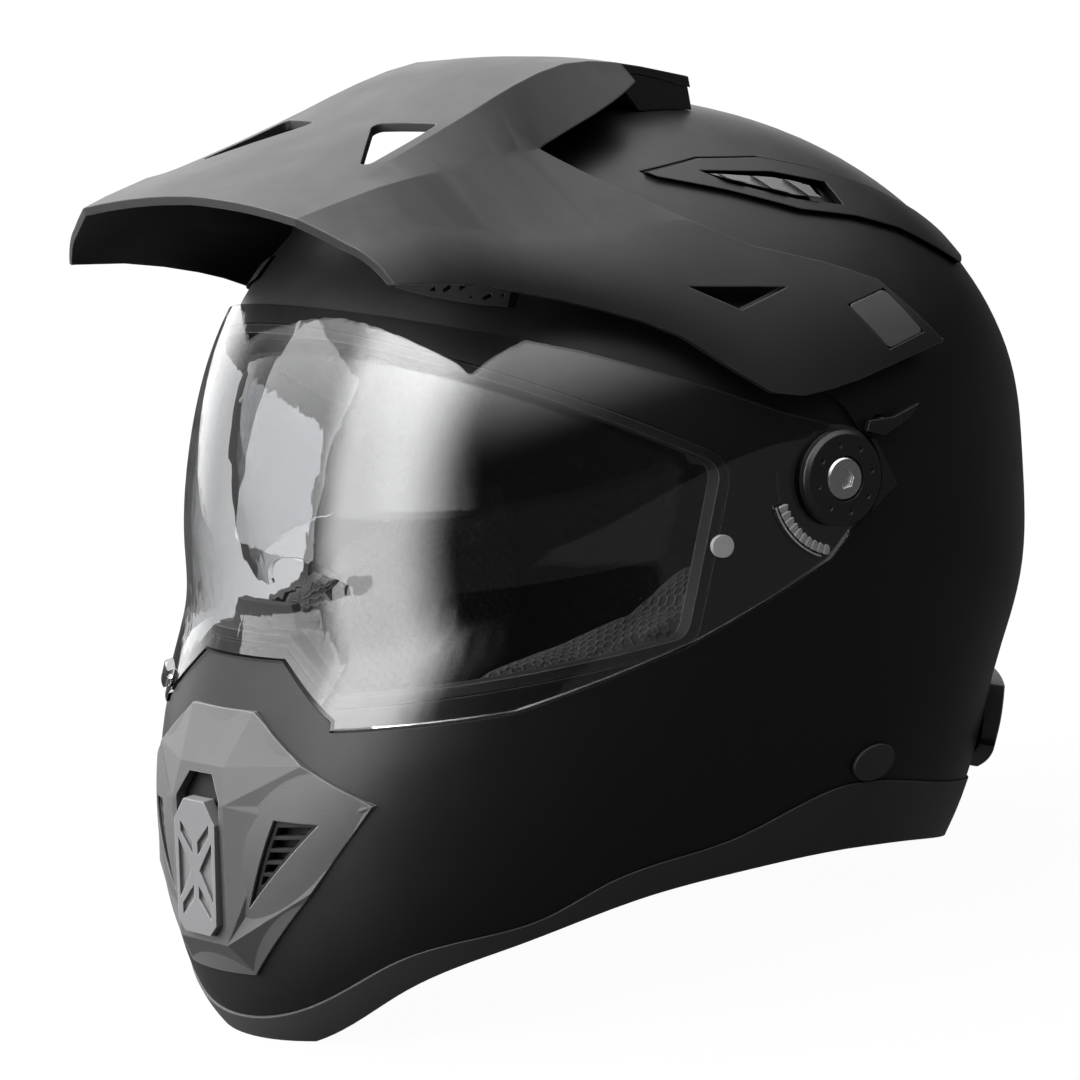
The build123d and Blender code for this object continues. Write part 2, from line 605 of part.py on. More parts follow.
# Detent: teeth under the shield's ear, and the arc sunk for them in the pocket
with BuildPart() as detent_teeth:
    with BuildSketch(side_plane()):
        with PolarLocations(DETENT_RADIUS, DETENT_TEETH, DETENT_START, DETENT_SPAN):
            Rectangle(DETENT_LENGTH, DETENT_WIDTH)
    extrude(amount=ACROSS, both=True)
    teeth_band = band(SHIELD_PROUD - SHIELD_WALL / 2, SHIELD_PROUD - SHIELD_WALL - DETENT_DEPTH)
    add(teeth_band, mode=Mode.INTERSECT)
with BuildPart() as detent_arc:
    with BuildSketch(side_plane()):
        Circle(DETENT_RADIUS + DETENT_LENGTH / 2 + RUNNING_GAP)
        Circle(DETENT_RADIUS - DETENT_LENGTH / 2 - RUNNING_GAP, mode=Mode.SUBTRACT)
        with BuildLine():
            spread = (DETENT_START + DETENT_SPAN + DETENT_WIDTH, DETENT_START + DETENT_SPAN / 2,
                      DETENT_START - SHIELD_TURN - DETENT_WIDTH)
            rim_points = [(RISE * cos(radians(a)), RISE * sin(radians(a))) for a in spread]
            Polyline((0, 0), *rim_points, close=True)
        make_face(mode=Mode.INTERSECT)
    extrude(amount=ACROSS, both=True)
    add(band(0, -SHIELD_SINK - DETENT_DEPTH - SEAT_GAP), mode=Mode.INTERSECT)

# Vent openings of the left side
bezel_prism = side_prism(BEZEL_SHARES, start=0)
vent_window = side_prism(VENT_WINDOW_SHARES, start=0)
vent_hole = side_prism(VENT_WINDOW_SHARES, margin=-VENT_LEDGE, start=0)
brow_opening = chin_prism(BROW_GRILLE_SHARES, start=0)
with BuildPart() as vent_recess:
    add(side_prism(BEZEL_SHARES, margin=SEAT_GAP, start=0))
    add(band(PEAK_CLEAR, -VENT_SINK), mode=Mode.INTERSECT)

# Side view places that several pieces share
plug_place = (PLUG_CENTRE[0] * RISE, PLUG_CENTRE[1] * RISE)
lever_place = (VISOR_LEVER_AXIS[0] * RISE, VISOR_LEVER_AXIS[1] * RISE)
cap_place = (CAP_CENTRE[0] * RISE, CAP_CENTRE[1] * RISE)
pin_place = (PIN_CENTRE[0] * RISE, PIN_CENTRE[1] * RISE)

# Outer shell: skin with the eyeport, the shield pocket, and every vent and screw hole
with BuildPart() as outer_shell:
    add(band(0, -SHELL_WALL))
    add(edge_prism(SHELL_EDGE_SHARES), mode=Mode.INTERSECT)
    add(eyeport(0), mode=Mode.SUBTRACT)
    add(shield_pocket.part, mode=Mode.SUBTRACT)
    add(both(plate_recess.part), mode=Mode.SUBTRACT)
    add(detent_arc.part, mode=Mode.SUBTRACT)
    add(both(vent_recess.part), mode=Mode.SUBTRACT)
    add(both(vent_hole), mode=Mode.SUBTRACT)
    add(both(brow_opening), mode=Mode.SUBTRACT)
    add(both(inlet_hole), mode=Mode.SUBTRACT)
    add(side_cylinder(PLUG_STEM + SEAT_GAP, -ACROSS, ACROSS, *plug_place), mode=Mode.SUBTRACT)
    add(side_cylinder(CAP_STEM + SEAT_GAP, -ACROSS, ACROSS, *cap_place), mode=Mode.SUBTRACT)
    add(side_cylinder(LEVER_PIN + RUNNING_GAP, 0, ACROSS, *lever_place), mode=Mode.SUBTRACT)
write(outer_shell.part, "outer_shell")

# Rubber seal lining the eyeport's edge
with BuildPart() as eyeport_gasket:
    add(band(-SHIELD_SINK - SEAT_GAP, -SHIELD_SINK - GASKET_DEPTH))
    add(eyeport(SEAT_GAP), mode=Mode.INTERSECT)
    add(eyeport(GASKET_WIDTH), mode=Mode.SUBTRACT)
write(eyeport_gasket.part, "eyeport_gasket")

# Base trim, cut flat where the helmet stands
with BuildPart() as base_trim:
    add(band(TRIM_PROUD, -TRIM_WALL))
    add(edge_prism(TRIM_EDGE_SHARES), mode=Mode.INTERSECT)
    add(edge_prism(SHELL_EDGE_SHARES), mode=Mode.SUBTRACT)
    split(bisect_by=Plane.XY, keep=Keep.TOP)
write(base_trim.part, "base_trim")

with BuildPart() as rear_spoiler:
    add(side_prism(SPOILER_SHARES, corner=SPOILER_CORNER))
    add(band(SPOILER_PROUD, TRIM_PROUD + SEAT_GAP), mode=Mode.INTERSECT)
write(rear_spoiler.part, "rear_spoiler")

# Face shield with its ears, detent teeth, pin holes and the lifting tab on the wearer's right
with BuildPart() as face_shield:
    add(band(SHIELD_PROUD, SHIELD_PROUD - SHIELD_WALL))
    add(shield_outline(0, [0]), mode=Mode.INTERSECT)
    add(detent_teeth.part)
    add(side_cylinder(PIVOT_HOLE_RADIUS, -ACROSS, ACROSS), mode=Mode.SUBTRACT)
    add(side_cylinder(PIN_RADIUS / 2 + SEAT_GAP, -ACROSS, ACROSS, *pin_place), mode=Mode.SUBTRACT)
tab_place = (-NOTCH_SHARES[1][0] * HALF_WIDTH - TAB_LENGTH / 2, NOTCH_SHARES[1][1] * RISE + TAB_HEIGHT)
with BuildPart() as shield_tab:
    with BuildSketch(front_plane(FACE_SHARE * RISE)):
        with Locations(tab_place):
            Rectangle(TAB_LENGTH, TAB_HEIGHT)
    extrude(amount=REACH)
    add(band(SHIELD_PROUD + TAB_PROUD, SHIELD_PROUD - SHIELD_WALL / 2), mode=Mode.INTERSECT)
face_shield.part = face_shield.part + shield_tab.part
write(face_shield.part, "face_shield")

# Anti-fog pins: a head outside the shield on a stem through it
with BuildPart() as shield_pin:
    add(side_cylinder(PIN_RADIUS, 0, ACROSS, *pin_place))
    add(band(SHIELD_PROUD + PIN_PROUD, SHIELD_PROUD + SEAT_GAP / 2), mode=Mode.INTERSECT)
with BuildPart() as pin_stem:
    add(side_cylinder(PIN_RADIUS / 2, 0, ACROSS, *pin_place))
    add(band(SHIELD_PROUD + PIN_PROUD / 2, SHIELD_PROUD - SHIELD_WALL), mode=Mode.INTERSECT)
pair(shield_pin.part + pin_stem.part, "shield_pin")

# Pivot plate: thin plate in its recess, boss through the shield, wedge behind the ear
with BuildPart() as pivot_plate:
    with BuildSketch(side_plane(RECESS_FLOOR + SEAT_GAP)):
        Circle(PLATE_RADIUS)
        with BuildLine():
            Polyline(*scaled(WEDGE_SHARES, RISE), close=True)
        make_face()
    extrude(amount=PLATE_WALL)
    with BuildSketch(side_plane(RECESS_FLOOR + SEAT_GAP)):
        with BuildLine():
            Polyline(*scaled(WEDGE_SHARES, RISE), close=True)
        make_face()
        Circle(EAR_RADIUS + RUNNING_GAP, mode=Mode.SUBTRACT)
    extrude(amount=SHIELD_TOP + SEAT_GAP - RECESS_FLOOR)
    with BuildSketch(side_plane(RECESS_FLOOR + SEAT_GAP)):
        Circle(PIVOT_HOLE_RADIUS - SEAT_GAP)
    extrude(amount=COVER_FLOOR - RECESS_FLOOR - SEAT_GAP)
    with BuildSketch(side_plane(RECESS_FLOOR)):
        Circle(SCREW_SHANK + SEAT_GAP)
    extrude(amount=OVERRUN, mode=Mode.SUBTRACT)
pair(pivot_plate.part, "pivot_plate")

# Pivot cover: chamfered disc with a ring of dots and a well for the screw
with BuildPart() as pivot_cover:
    with BuildSketch(side_plane(COVER_FLOOR)):
        Circle(COVER_RADIUS)
    extrude(amount=COVER_WALL)
    chamfer(pivot_cover.faces().sort_by(Axis.X)[-1].edges(), COVER_CHAMFER)
    with BuildSketch(side_plane(COVER_FLOOR + COVER_WALL)):
        with PolarLocations(COVER_DOT_RING, COVER_DOTS):
            Circle(COVER_DOT_RADIUS)
    extrude(amount=-COVER_DOT_DEPTH, mode=Mode.SUBTRACT)
    with BuildSketch(side_plane(COVER_FLOOR + COVER_WALL)):
        Circle(SCREW_RADIUS + SEAT_GAP)
    extrude(amount=-SCREW_DEPTH, mode=Mode.SUBTRACT)
    with BuildSketch(side_plane(COVER_FLOOR)):
        Circle(SCREW_SHANK + SEAT_GAP)
    extrude(amount=COVER_WALL, mode=Mode.SUBTRACT)
pair(pivot_cover.part, "pivot_cover")

with BuildPart() as pivot_screw:
    with BuildSketch(side_plane(RECESS_FLOOR + SEAT_GAP)):
        Circle(SCREW_SHANK)
    extrude(amount=COVER_FLOOR + COVER_WALL - SCREW_DEPTH - RECESS_FLOOR)
    with BuildSketch(side_plane(COVER_FLOOR + COVER_WALL - SCREW_DEPTH + SEAT_GAP)):
        Circle(SCREW_RADIUS)
    extrude(amount=SCREW_DEPTH)
    chamfer(pivot_screw.faces().sort_by(Axis.X)[-1].edges(), SCREW_CHAMFER)
    with BuildSketch(side_plane(COVER_FLOOR + COVER_WALL + SEAT_GAP)):
        RegularPolygon(SCREW_SOCKET, 6)
    extrude(amount=-SCREW_DEPTH / 2, mode=Mode.SUBTRACT)
pair(pivot_screw.part, "pivot_screw")

# Oval caps over the strap rivets
with BuildPart() as strap_cap:
    with BuildSketch(side_plane()):
        with Locations(cap_place):
            Ellipse(CAP_LENGTH / 2, CAP_WIDTH / 2)
    extrude(amount=ACROSS)
    add(band(CAP_PROUD, SEAT_GAP), mode=Mode.INTERSECT)
rivet_end = STRAP_SHARES[1][0] * HALF_WIDTH - STRAP_WALL - 2 * SEAT_GAP
with BuildPart() as strap_rivet:
    add(side_cylinder(CAP_STEM, rivet_end - RIVET_WALL, ACROSS, *cap_place))
    add(skin(CAP_PROUD / 2), mode=Mode.INTERSECT)
    add(side_cylinder(RIVET_RADIUS, rivet_end - RIVET_WALL, rivet_end, *cap_place))
pair(strap_cap.part + strap_rivet.part, "strap_cap")


def visor_form(grow):
    """Round form about the inner visor's axis, grown outward by a length"""
    centre = Plane(origin=(0, PIVOT_Y - VISOR_BACK, PIVOT_Z + VISOR_UP), x_dir=(1, 0, 0), z_dir=(0, -1, 0))
    width, radius = VISOR_HALF_WIDTH + grow, VISOR_RADIUS + grow
    curve = [(share * width, radius * (1 - abs(share) ** 2.2) ** (1 / 2.2)) for share in STATIONS]
    with BuildPart() as form:
        with BuildSketch(centre):
            with BuildLine():
                Spline(*curve)
                Polyline(curve[-1], (curve[-1][0], 0), (curve[0][0], 0), curve[0])
            make_face()
        revolve(axis=Axis(centre.origin, (1, 0, 0)))
    return form.part


visor_place = (-VISOR_BACK, VISOR_UP)
with BuildPart() as sun_visor:
    add(side_prism(VISOR_SHARES))
    add(side_cylinder(VISOR_EAR, -ACROSS, ACROSS, *visor_place))
    add(visor_form(0), mode=Mode.INTERSECT)
    add(visor_form(-VISOR_WALL), mode=Mode.SUBTRACT)
    with BuildSketch(front_plane(0)):
        with Locations((0, VISOR_SHARES[0][1] * RISE)):
            Ellipse(VISOR_NOSE_HALF, VISOR_NOSE_RISE)
    extrude(amount=REACH, mode=Mode.SUBTRACT)
    add(side_cylinder(VISOR_PIN + RUNNING_GAP, -ACROSS, ACROSS, *visor_place), mode=Mode.SUBTRACT)
write(sun_visor.part, "sun_visor")

visor_side = STATION_SHARES[-1] * VISOR_HALF_WIDTH
with BuildPart() as visor_pin:
    add(side_cylinder(VISOR_PIN, visor_side - VISOR_WALL - PIN_PROUD, ACROSS, *visor_place))
    add(side_cylinder(VISOR_EAR, visor_side + RUNNING_GAP, ACROSS, *visor_place))
    add(skin(-SHELL_WALL - SEAT_GAP), mode=Mode.INTERSECT)
pair(visor_pin.part, "visor_pin")

# Lever of the inner visor: a wing on a pin through the shell, on the wearer's left
with BuildPart() as sun_visor_lever:
    with BuildSketch(side_plane(SHIELD_TOP + RUNNING_GAP)):
        with BuildLine():
            Polyline(*scaled(LEVER_SHARES, RISE), close=True)
        make_face()
    extrude(amount=LEVER_WALL)
    add(side_cylinder(LEVER_PIN, cap(-SHELL_WALL) + SEAT_GAP, SHIELD_TOP + RUNNING_GAP, *lever_place))
write(sun_visor_lever.part, "sun_visor_lever")

# Impact liners: two halves meeting at the middle, with the slot for the raised visor, and one in the chin
with BuildPart() as visor_slot:
    add(side_prism(VISOR_SLOT_SHARES))
    add(side_cylinder(VISOR_EAR + VISOR_ROOM, -ACROSS, ACROSS, *visor_place))
    add(visor_form(VISOR_ROOM), mode=Mode.INTERSECT)
    add(visor_form(-VISOR_WALL - VISOR_ROOM), mode=Mode.SUBTRACT)
with BuildPart() as impact_liner:
    add(band(-SHELL_WALL - SEAT_GAP, -SHELL_WALL - LINER_WALL, form=lining))
    add(side_prism(LINER_SHARES, start=SEAT_GAP / 2), mode=Mode.INTERSECT)
    add(visor_slot.part, mode=Mode.SUBTRACT)
    add(side_cylinder(VISOR_EAR + SEAT_GAP, -ACROSS, ACROSS, *visor_place), mode=Mode.SUBTRACT)
    add(side_cylinder(PLUG_STEM + SEAT_GAP, -ACROSS, ACROSS, *plug_place), mode=Mode.SUBTRACT)
pair(impact_liner.part, "impact_liner")

with BuildPart() as chin_impact_liner:
    add(band(-SHELL_WALL - SEAT_GAP, -SHELL_WALL - LINER_WALL / 2, form=lining))
    add(side_prism(CHIN_LINER_SHARES), mode=Mode.INTERSECT)
write(chin_impact_liner.part, "chin_impact_liner")

with BuildPart() as crown_pad:
    add(band(-SHELL_WALL - LINER_WALL - SEAT_GAP, -SHELL_WALL - LINER_WALL - PAD_WALL, form=lining))
    add(side_prism(CROWN_PAD_SHARES), mode=Mode.INTERSECT)
write(crown_pad.part, "crown_pad")

# Cheek pads: drawn in towards the face, crowned by their layers
with BuildPart() as cheek_pad:
    for out, drawn in CHEEK_LAYER_SHARES:
        with BuildSketch(side_plane(out * HALF_WIDTH)) as layer:
            with BuildLine():
                Polyline(*scaled(CHEEK_SHARES, RISE), close=True)
            make_face()
            fillet(layer.vertices(), CHEEK_CORNER)
            if drawn:
                offset(amount=-drawn * RISE)
    loft(ruled=True)
    add(skin(-LINED_DEPTH), mode=Mode.INTERSECT)
pair(cheek_pad.part, "cheek_pad")

with BuildPart() as neck_roll:
    add(band(-TRIM_WALL - SEAT_GAP, -TRIM_WALL - NECK_WALL))
    add(edge_prism(NECK_LOW_SHARES), mode=Mode.INTERSECT)
    add(edge_prism(NECK_TOP_SHARES), mode=Mode.SUBTRACT)
write(neck_roll.part, "neck_roll")

with BuildPart() as chin_curtain:
    add(side_prism(CURTAIN_SHARES))
    add(skin(-TRIM_WALL - SEAT_GAP), mode=Mode.INTERSECT)
write(chin_curtain.part, "chin_curtain")

with BuildPart() as breath_guard:
    add(front_prism(GUARD_SHARES, start=FACE_SHARE * RISE))
    add(band(-LINED_DEPTH, -LINED_DEPTH - GUARD_WALL), mode=Mode.INTERSECT)
write(breath_guard.part, "breath_guard")

# Chin strap halves and the buckle between them
strap_line = [(a * HALF_WIDTH, b * RISE) for a, b in STRAP_SHARES]
strap_line.append((BUCKLE_LENGTH / 2 + SEAT_GAP, -BUCKLE_DROP))
with BuildPart() as chin_strap:
    with BuildSketch(front_plane(-cap_place[0])):
        with BuildLine() as run:
            FilletPolyline(*strap_line, radius=STRAP_BEND)
        trace(line_width=STRAP_WALL)
    extrude(amount=STRAP_WIDTH / 2, both=True)
    add(side_cylinder(CAP_STEM + SEAT_GAP, 0, ACROSS, *cap_place), mode=Mode.SUBTRACT)
pair(chin_strap.part, "chin_strap")

buckle_centre = (0, PIVOT_Y + cap_place[0], PIVOT_Z - BUCKLE_DROP)
lever_axis_x = -BUCKLE_LEVER_LENGTH / 2
lever_z = -BUCKLE_HEIGHT / 2 + BUCKLE_LEVER_WALL / 2
with BuildPart(Location(buckle_centre)) as buckle_body:
    Box(BUCKLE_LENGTH, BUCKLE_WIDTH, BUCKLE_HEIGHT)
    fillet(buckle_body.edges().filter_by(Axis.Z), BUCKLE_CORNER)
    with Locations((RUNNING_GAP, 0, lever_z - RUNNING_GAP)):
        Box(
            BUCKLE_LEVER_LENGTH + BUCKLE_LEVER_WALL + 2 * RUNNING_GAP,
            BUCKLE_LEVER_WIDTH + 2 * RUNNING_GAP,
            BUCKLE_LEVER_WALL + 2 * RUNNING_GAP,
            mode=Mode.SUBTRACT,
        )
    with Locations(Location((lever_axis_x, 0, lever_z), (90, 0, 0))):
        Cylinder(BUCKLE_PIN + RUNNING_GAP / 2, BUCKLE_WIDTH - 2 * BUCKLE_CORNER, mode=Mode.SUBTRACT)
write(buckle_body.part, "buckle_body")
with BuildPart(Location(buckle_centre)) as buckle_lever:
    with Locations((0, 0, lever_z)):
        Box(BUCKLE_LEVER_LENGTH, BUCKLE_LEVER_WIDTH, BUCKLE_LEVER_WALL)
    with Locations(Location((lever_axis_x, 0, lever_z), (90, 0, 0))):
        Cylinder(BUCKLE_LEVER_WALL / 2, BUCKLE_LEVER_WIDTH)
        Cylinder(BUCKLE_PIN, BUCKLE_WIDTH - 2 * BUCKLE_CORNER - 2 * SEAT_GAP)
write(buckle_lever.part, "buckle_lever")

# Top vents: bezel let into the shell, ribbed slider in its window
with BuildPart() as top_vent_bezel:
    add(bezel_prism)
    add(band(VENT_PROUD, SEAT_GAP - VENT_SINK), mode=Mode.INTERSECT)
    add(vent_window, mode=Mode.SUBTRACT)
pair(top_vent_bezel.part, "top_vent_bezel")
with BuildPart() as vent_ribs:
    with BuildSketch(side_plane()):
        with Locations(scaled([RIB_CENTRE], RISE)[0]):
            with GridLocations(RIB_PITCH, RIB_PITCH, RIB_COUNT, 1):
                Rectangle(RIB_WIDTH, OVERRUN, rotation=RIB_SLANT)
    extrude(amount=ACROSS)
    add(band(VENT_PROUD + RIB_DEPTH, VENT_SINK - VENT_PROUD), mode=Mode.INTERSECT)
with BuildPart() as top_vent_slider:
    add(band(VENT_PROUD, RUNNING_GAP - VENT_SINK))
    add(vent_ribs.part)
    add(side_prism(VENT_SLIDER_SHARES, start=0), mode=Mode.INTERSECT)
pair(top_vent_slider.part, "top_vent_slider")

with BuildPart() as grille_holes:
    with BuildSketch(front_plane()):
        with Locations((BROW_GRILLE_CENTRE[0] * HALF_WIDTH, BROW_GRILLE_CENTRE[1] * RISE)):
            with GridLocations(GRILLE_PITCH, GRILLE_PITCH, GRILLE_COLUMNS, GRILLE_ROWS):
                RegularPolygon(GRILLE_HOLE, 4)
        with BuildLine():
            Polyline(*scaled(BROW_GRILLE_SHARES, HALF_WIDTH), close=True)
        outline = make_face(mode=Mode.PRIVATE)
        inside = offset(outline, amount=-GRILLE_RIM, kind=Kind.INTERSECTION, mode=Mode.PRIVATE)
        add(inside, mode=Mode.INTERSECT)
    extrude(amount=REACH)
with BuildPart() as brow_grille:
    add(chin_prism(BROW_GRILLE_SHARES, margin=-SEAT_GAP, start=0))
    add(band(-SEAT_GAP, -SEAT_GAP - GRILLE_WALL), mode=Mode.INTERSECT)
    add(grille_holes.part, mode=Mode.SUBTRACT)
pair(brow_grille.part, "forehead_grille")


def peak_section(row):
    """Coronal section of the peak: outer line, then its inner line one wall further in"""
    back, height, *places, bow = row
    ridge, crease, waist, edge = ((a * HALF_WIDTH, b * RISE) for a, b in zip(places[::2], places[1::2]))
    run = hypot(edge[0] - waist[0], edge[1] - waist[1])
    out = (bow * RISE * (waist[1] - edge[1]) / run, bow * RISE * (edge[0] - waist[0]) / run)
    flank = ((waist[0] + edge[0]) / 2 + out[0], (waist[1] + edge[1]) / 2 + out[1])
    outer = [edge, flank, waist, crease, ridge]
    inner = []
    for (x, z), (across, down) in zip(outer, PEAK_INWARD_SHARES):
        inner.append((x - across * PEAK_WALL, z - down * PEAK_WALL))
    with BuildSketch(front_plane(-back * RISE)) as section:
        with BuildLine():
            for line, middle_height in ((outer, height * RISE), (inner, height * RISE - PEAK_WALL)):
                far = [(-x, z) for x, z in line]
                ThreePointArc(line[0], line[1], line[2])
                Line(line[2], line[3])
                Line(line[3], line[4])
                ThreePointArc(line[4], (0, middle_height), far[4])
                Line(far[4], far[3])
                Line(far[3], far[2])
                ThreePointArc(far[2], far[1], far[0])
            Line(outer[0], inner[0])
            Line((-outer[0][0], outer[0][1]), (-inner[0][0], inner[0][1]))
        make_face()
    return section.sketch


with BuildPart() as peak_form:
    loft([peak_section(row) for row in denser(PEAK_SHARES)], ruled=True)

# Peak: the form trimmed to its front line, its arms and its tongue, with windows, vents and side feet
with BuildPart() as peak_front:
    with BuildSketch(top_plane()):
        with BuildLine():
            front = scaled(PEAK_FRONT_SHARES, HALF_WIDTH)
            across = front + [(-x, y) for x, y in reversed(front[:-1])]
            Polyline((front[0][0], REACH), *across, (-front[0][0], REACH), close=True)
        make_face()
    extrude(amount=REACH, both=True)
with BuildPart() as peak_body:
    add(peak_form.part)
    add(peak_front.part, mode=Mode.INTERSECT)
    add(side_prism(ARM_TOP_SHARES, start=TONGUE_HALF), mode=Mode.SUBTRACT)
    add(side_prism(ARM_TOP_SHARES, end=-TONGUE_HALF), mode=Mode.SUBTRACT)
    add(side_prism(PEAK_REAR_SHARES), mode=Mode.SUBTRACT)
with BuildPart() as arm_foot:
    add(side_prism(ARM_REAR_SHARES))
    add(band(PEAK_CLEAR - PEAK_WALL / 2, SEAT_GAP), mode=Mode.INTERSECT)
peak_solid = peak_body.part + arm_foot.part
for shares in (WINDOW_SHARES, [(-x, y) for x, y in WINDOW_SHARES]):
    with BuildPart() as window:
        with BuildSketch(top_plane()) as outline:
            with BuildLine():
                Polyline(*scaled(shares, HALF_WIDTH), close=True)
            make_face()
            fillet(outline.vertices(), WINDOW_CORNER)
        extrude(amount=REACH)
    peak_solid = peak_solid - window.part
peak_solid = peak_solid - side_prism(SIDE_VENT_SHARES) - skin(SEAT_GAP)

# Rhombic plugs let into the arms over the peak's screws, each on a stem down through the shell
left_arm = left_half(peak_solid)
plug_pocket = left_arm & side_prism(PLUG_SHARES, margin=SEAT_GAP, start=0)
plug_pocket = plug_pocket - Pos(-PLUG_SINK - SEAT_GAP, 0, 0) * plug_pocket
plug_block = left_arm & side_prism(PLUG_SHARES, start=0)
plug_plate = plug_block - Pos(-PLUG_SINK, 0, 0) * plug_block
plug_shank = side_cylinder(PLUG_STEM, cap(-PLUG_FOOT), ACROSS, *plug_place)
plug_stem = (plug_shank & plug_block) + (plug_shank & skin(2 * SEAT_GAP))
plug_hole = side_cylinder(PLUG_STEM + SEAT_GAP, 0, ACROSS, *plug_place)
write(peak_solid - both(plug_pocket) - both(plug_hole), "peak")
pair(plug_plate + plug_stem, "peak_plug")

# Top mount: fills the space from the shell up to the tongue
with BuildPart() as mount_block:
    add(side_prism(MOUNT_SHARES, start=SEAT_GAP - TONGUE_HALF, end=TONGUE_HALF - SEAT_GAP))
    add(skin(SEAT_GAP), mode=Mode.SUBTRACT)
    add(Pos(0, 0, -SEAT_GAP) * peak_solid, mode=Mode.SUBTRACT)
write(mount_block.solids().sort_by(Axis.Z)[0], "peak_top_mount")
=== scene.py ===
import json
from math import cos, pi, radians, sin, sqrt

import bmesh
import bpy
import numpy as np
from mathutils import Matrix, Vector
from mathutils.bvhtree import BVHTree


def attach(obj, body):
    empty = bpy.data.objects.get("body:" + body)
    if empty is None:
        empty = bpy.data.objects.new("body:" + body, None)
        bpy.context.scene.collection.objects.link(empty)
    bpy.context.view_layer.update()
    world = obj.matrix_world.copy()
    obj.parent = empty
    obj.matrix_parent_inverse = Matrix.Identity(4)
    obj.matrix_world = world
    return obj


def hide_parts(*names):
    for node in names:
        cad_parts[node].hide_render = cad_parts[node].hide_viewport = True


# Dual sport helmet: +Z up, the face looks along -Y, +X is the wearer's left. Metres.
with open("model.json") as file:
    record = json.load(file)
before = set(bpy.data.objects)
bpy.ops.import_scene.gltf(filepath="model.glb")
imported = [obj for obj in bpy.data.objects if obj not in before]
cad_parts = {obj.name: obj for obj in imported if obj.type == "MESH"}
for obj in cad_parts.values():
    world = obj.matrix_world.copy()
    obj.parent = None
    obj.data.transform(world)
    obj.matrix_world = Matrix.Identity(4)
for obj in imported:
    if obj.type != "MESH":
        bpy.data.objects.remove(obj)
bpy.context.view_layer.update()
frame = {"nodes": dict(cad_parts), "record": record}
nodes = frame["nodes"]
node_body = {node: body for body, names in frame["record"]["behaviour"]["bodies"].items() for node in names}
node_slot = {part["node"]: part["material_slot"] for part in frame["record"]["subparts"]}
scene = bpy.context.scene

MM = 0.001
PIVOT = Vector((0, 29 * MM, 153 * MM))      # shield pivot axis at the centre plane

# Camera: the photograph shows the helmet level, and the model rests on its chin and nape, tipped back
PITCH = radians(12)
CAMERA_TURN = radians(55)
CAMERA_LIFT = radians(5)
CAMERA_DISTANCE = 2.0
CAMERA_AIM = Vector((-12.03, -21.64, -29.29)) * MM
FOCAL_PIXELS = 5800
PHOTO_PIXELS = 1080
SENSOR = 36


def tipped(v):
    """A direction of the photograph's level frame, in the resting frame"""
    return Vector((v.x, v.y * cos(PITCH) + v.z * sin(PITCH), -v.y * sin(PITCH) + v.z * cos(PITCH)))


def link(thing):
    """Puts an object into the scene"""
    scene.collection.objects.link(thing)
    return thing


back = Vector((sin(CAMERA_TURN) * cos(CAMERA_LIFT), -cos(CAMERA_TURN) * cos(CAMERA_LIFT), sin(CAMERA_LIFT)))
right = Vector((cos(CAMERA_TURN), sin(CAMERA_TURN), 0))
up = back.cross(right)
axes = [tipped(axis) for axis in (right, up, back)]
place = PIVOT + tipped(CAMERA_AIM + back * CAMERA_DISTANCE)
camera = link(bpy.data.objects.new("camera", bpy.data.cameras.new("camera")))
camera.matrix_world = Matrix.Translation(place) @ Matrix(axes).transposed().to_4x4()
camera.data.sensor_width = SENSOR
camera.data.lens = FOCAL_PIXELS / PHOTO_PIXELS * SENSOR
camera.data.clip_start, camera.data.clip_end = 0.05, 50
scene.camera = camera
scene.view_settings.view_transform = "Standard"


# Small helpers for node trees
def put(tree, kind, settings=None, **inputs):
    """Adds a node with its settings, and its inputs by name (underscores for spaces) as values or sockets"""
    node = tree.nodes.new(kind)
    for key, value in (settings or {}).items():
        setattr(node, key, value)
    for key, value in inputs.items():
        socket = node.inputs[key.replace("_", " ")]
        if isinstance(value, bpy.types.NodeSocket):
            tree.links.new(value, socket)
        else:
            socket.default_value = value
    return node


def sum_up(tree, operation, *values):
    """Math node over sockets or numbers; returns its result"""
    node = tree.nodes.new("ShaderNodeMath")
    node.operation = operation
    for socket, value in zip(node.inputs, values):
        if isinstance(value, bpy.types.NodeSocket):
            tree.links.new(value, socket)
        else:
            socket.default_value = value
    return node.outputs[0]


def vector_sum(tree, operation, *values, out=0):
    """Vector math node over sockets or triples; returns its result"""
    node = tree.nodes.new("ShaderNodeVectorMath")
    node.operation = operation
    for socket, value in zip(node.inputs, values):
        if isinstance(value, bpy.types.NodeSocket):
            tree.links.new(value, socket)
        else:
            socket.default_value = value
    return node.outputs[out]


def blend_colour(tree, factor, low, high):
    """Mix of two colours by a factor; returns the colour"""
    node = tree.nodes.new("ShaderNodeMix")
    node.data_type = "RGBA"
    for socket, value in ((node.inputs[0], factor), (node.inputs[6], low), (node.inputs[7], high)):
        if isinstance(value, bpy.types.NodeSocket):
            tree.links.new(value, socket)
        else:
            socket.default_value = value
    return node.outputs[2]


def span(tree, value, low, high, to_low=0.0, to_high=1.0):
    """Value between two limits, spread smoothly over two others"""
    node = put(tree, "ShaderNodeMapRange", {"interpolation_type": "SMOOTHSTEP"}, Value=value)
    for name, limit in (("From Min", low), ("From Max", high), ("To Min", to_low), ("To Max", to_high)):
        node.inputs[name].default_value = limit
    return node.outputs[0]


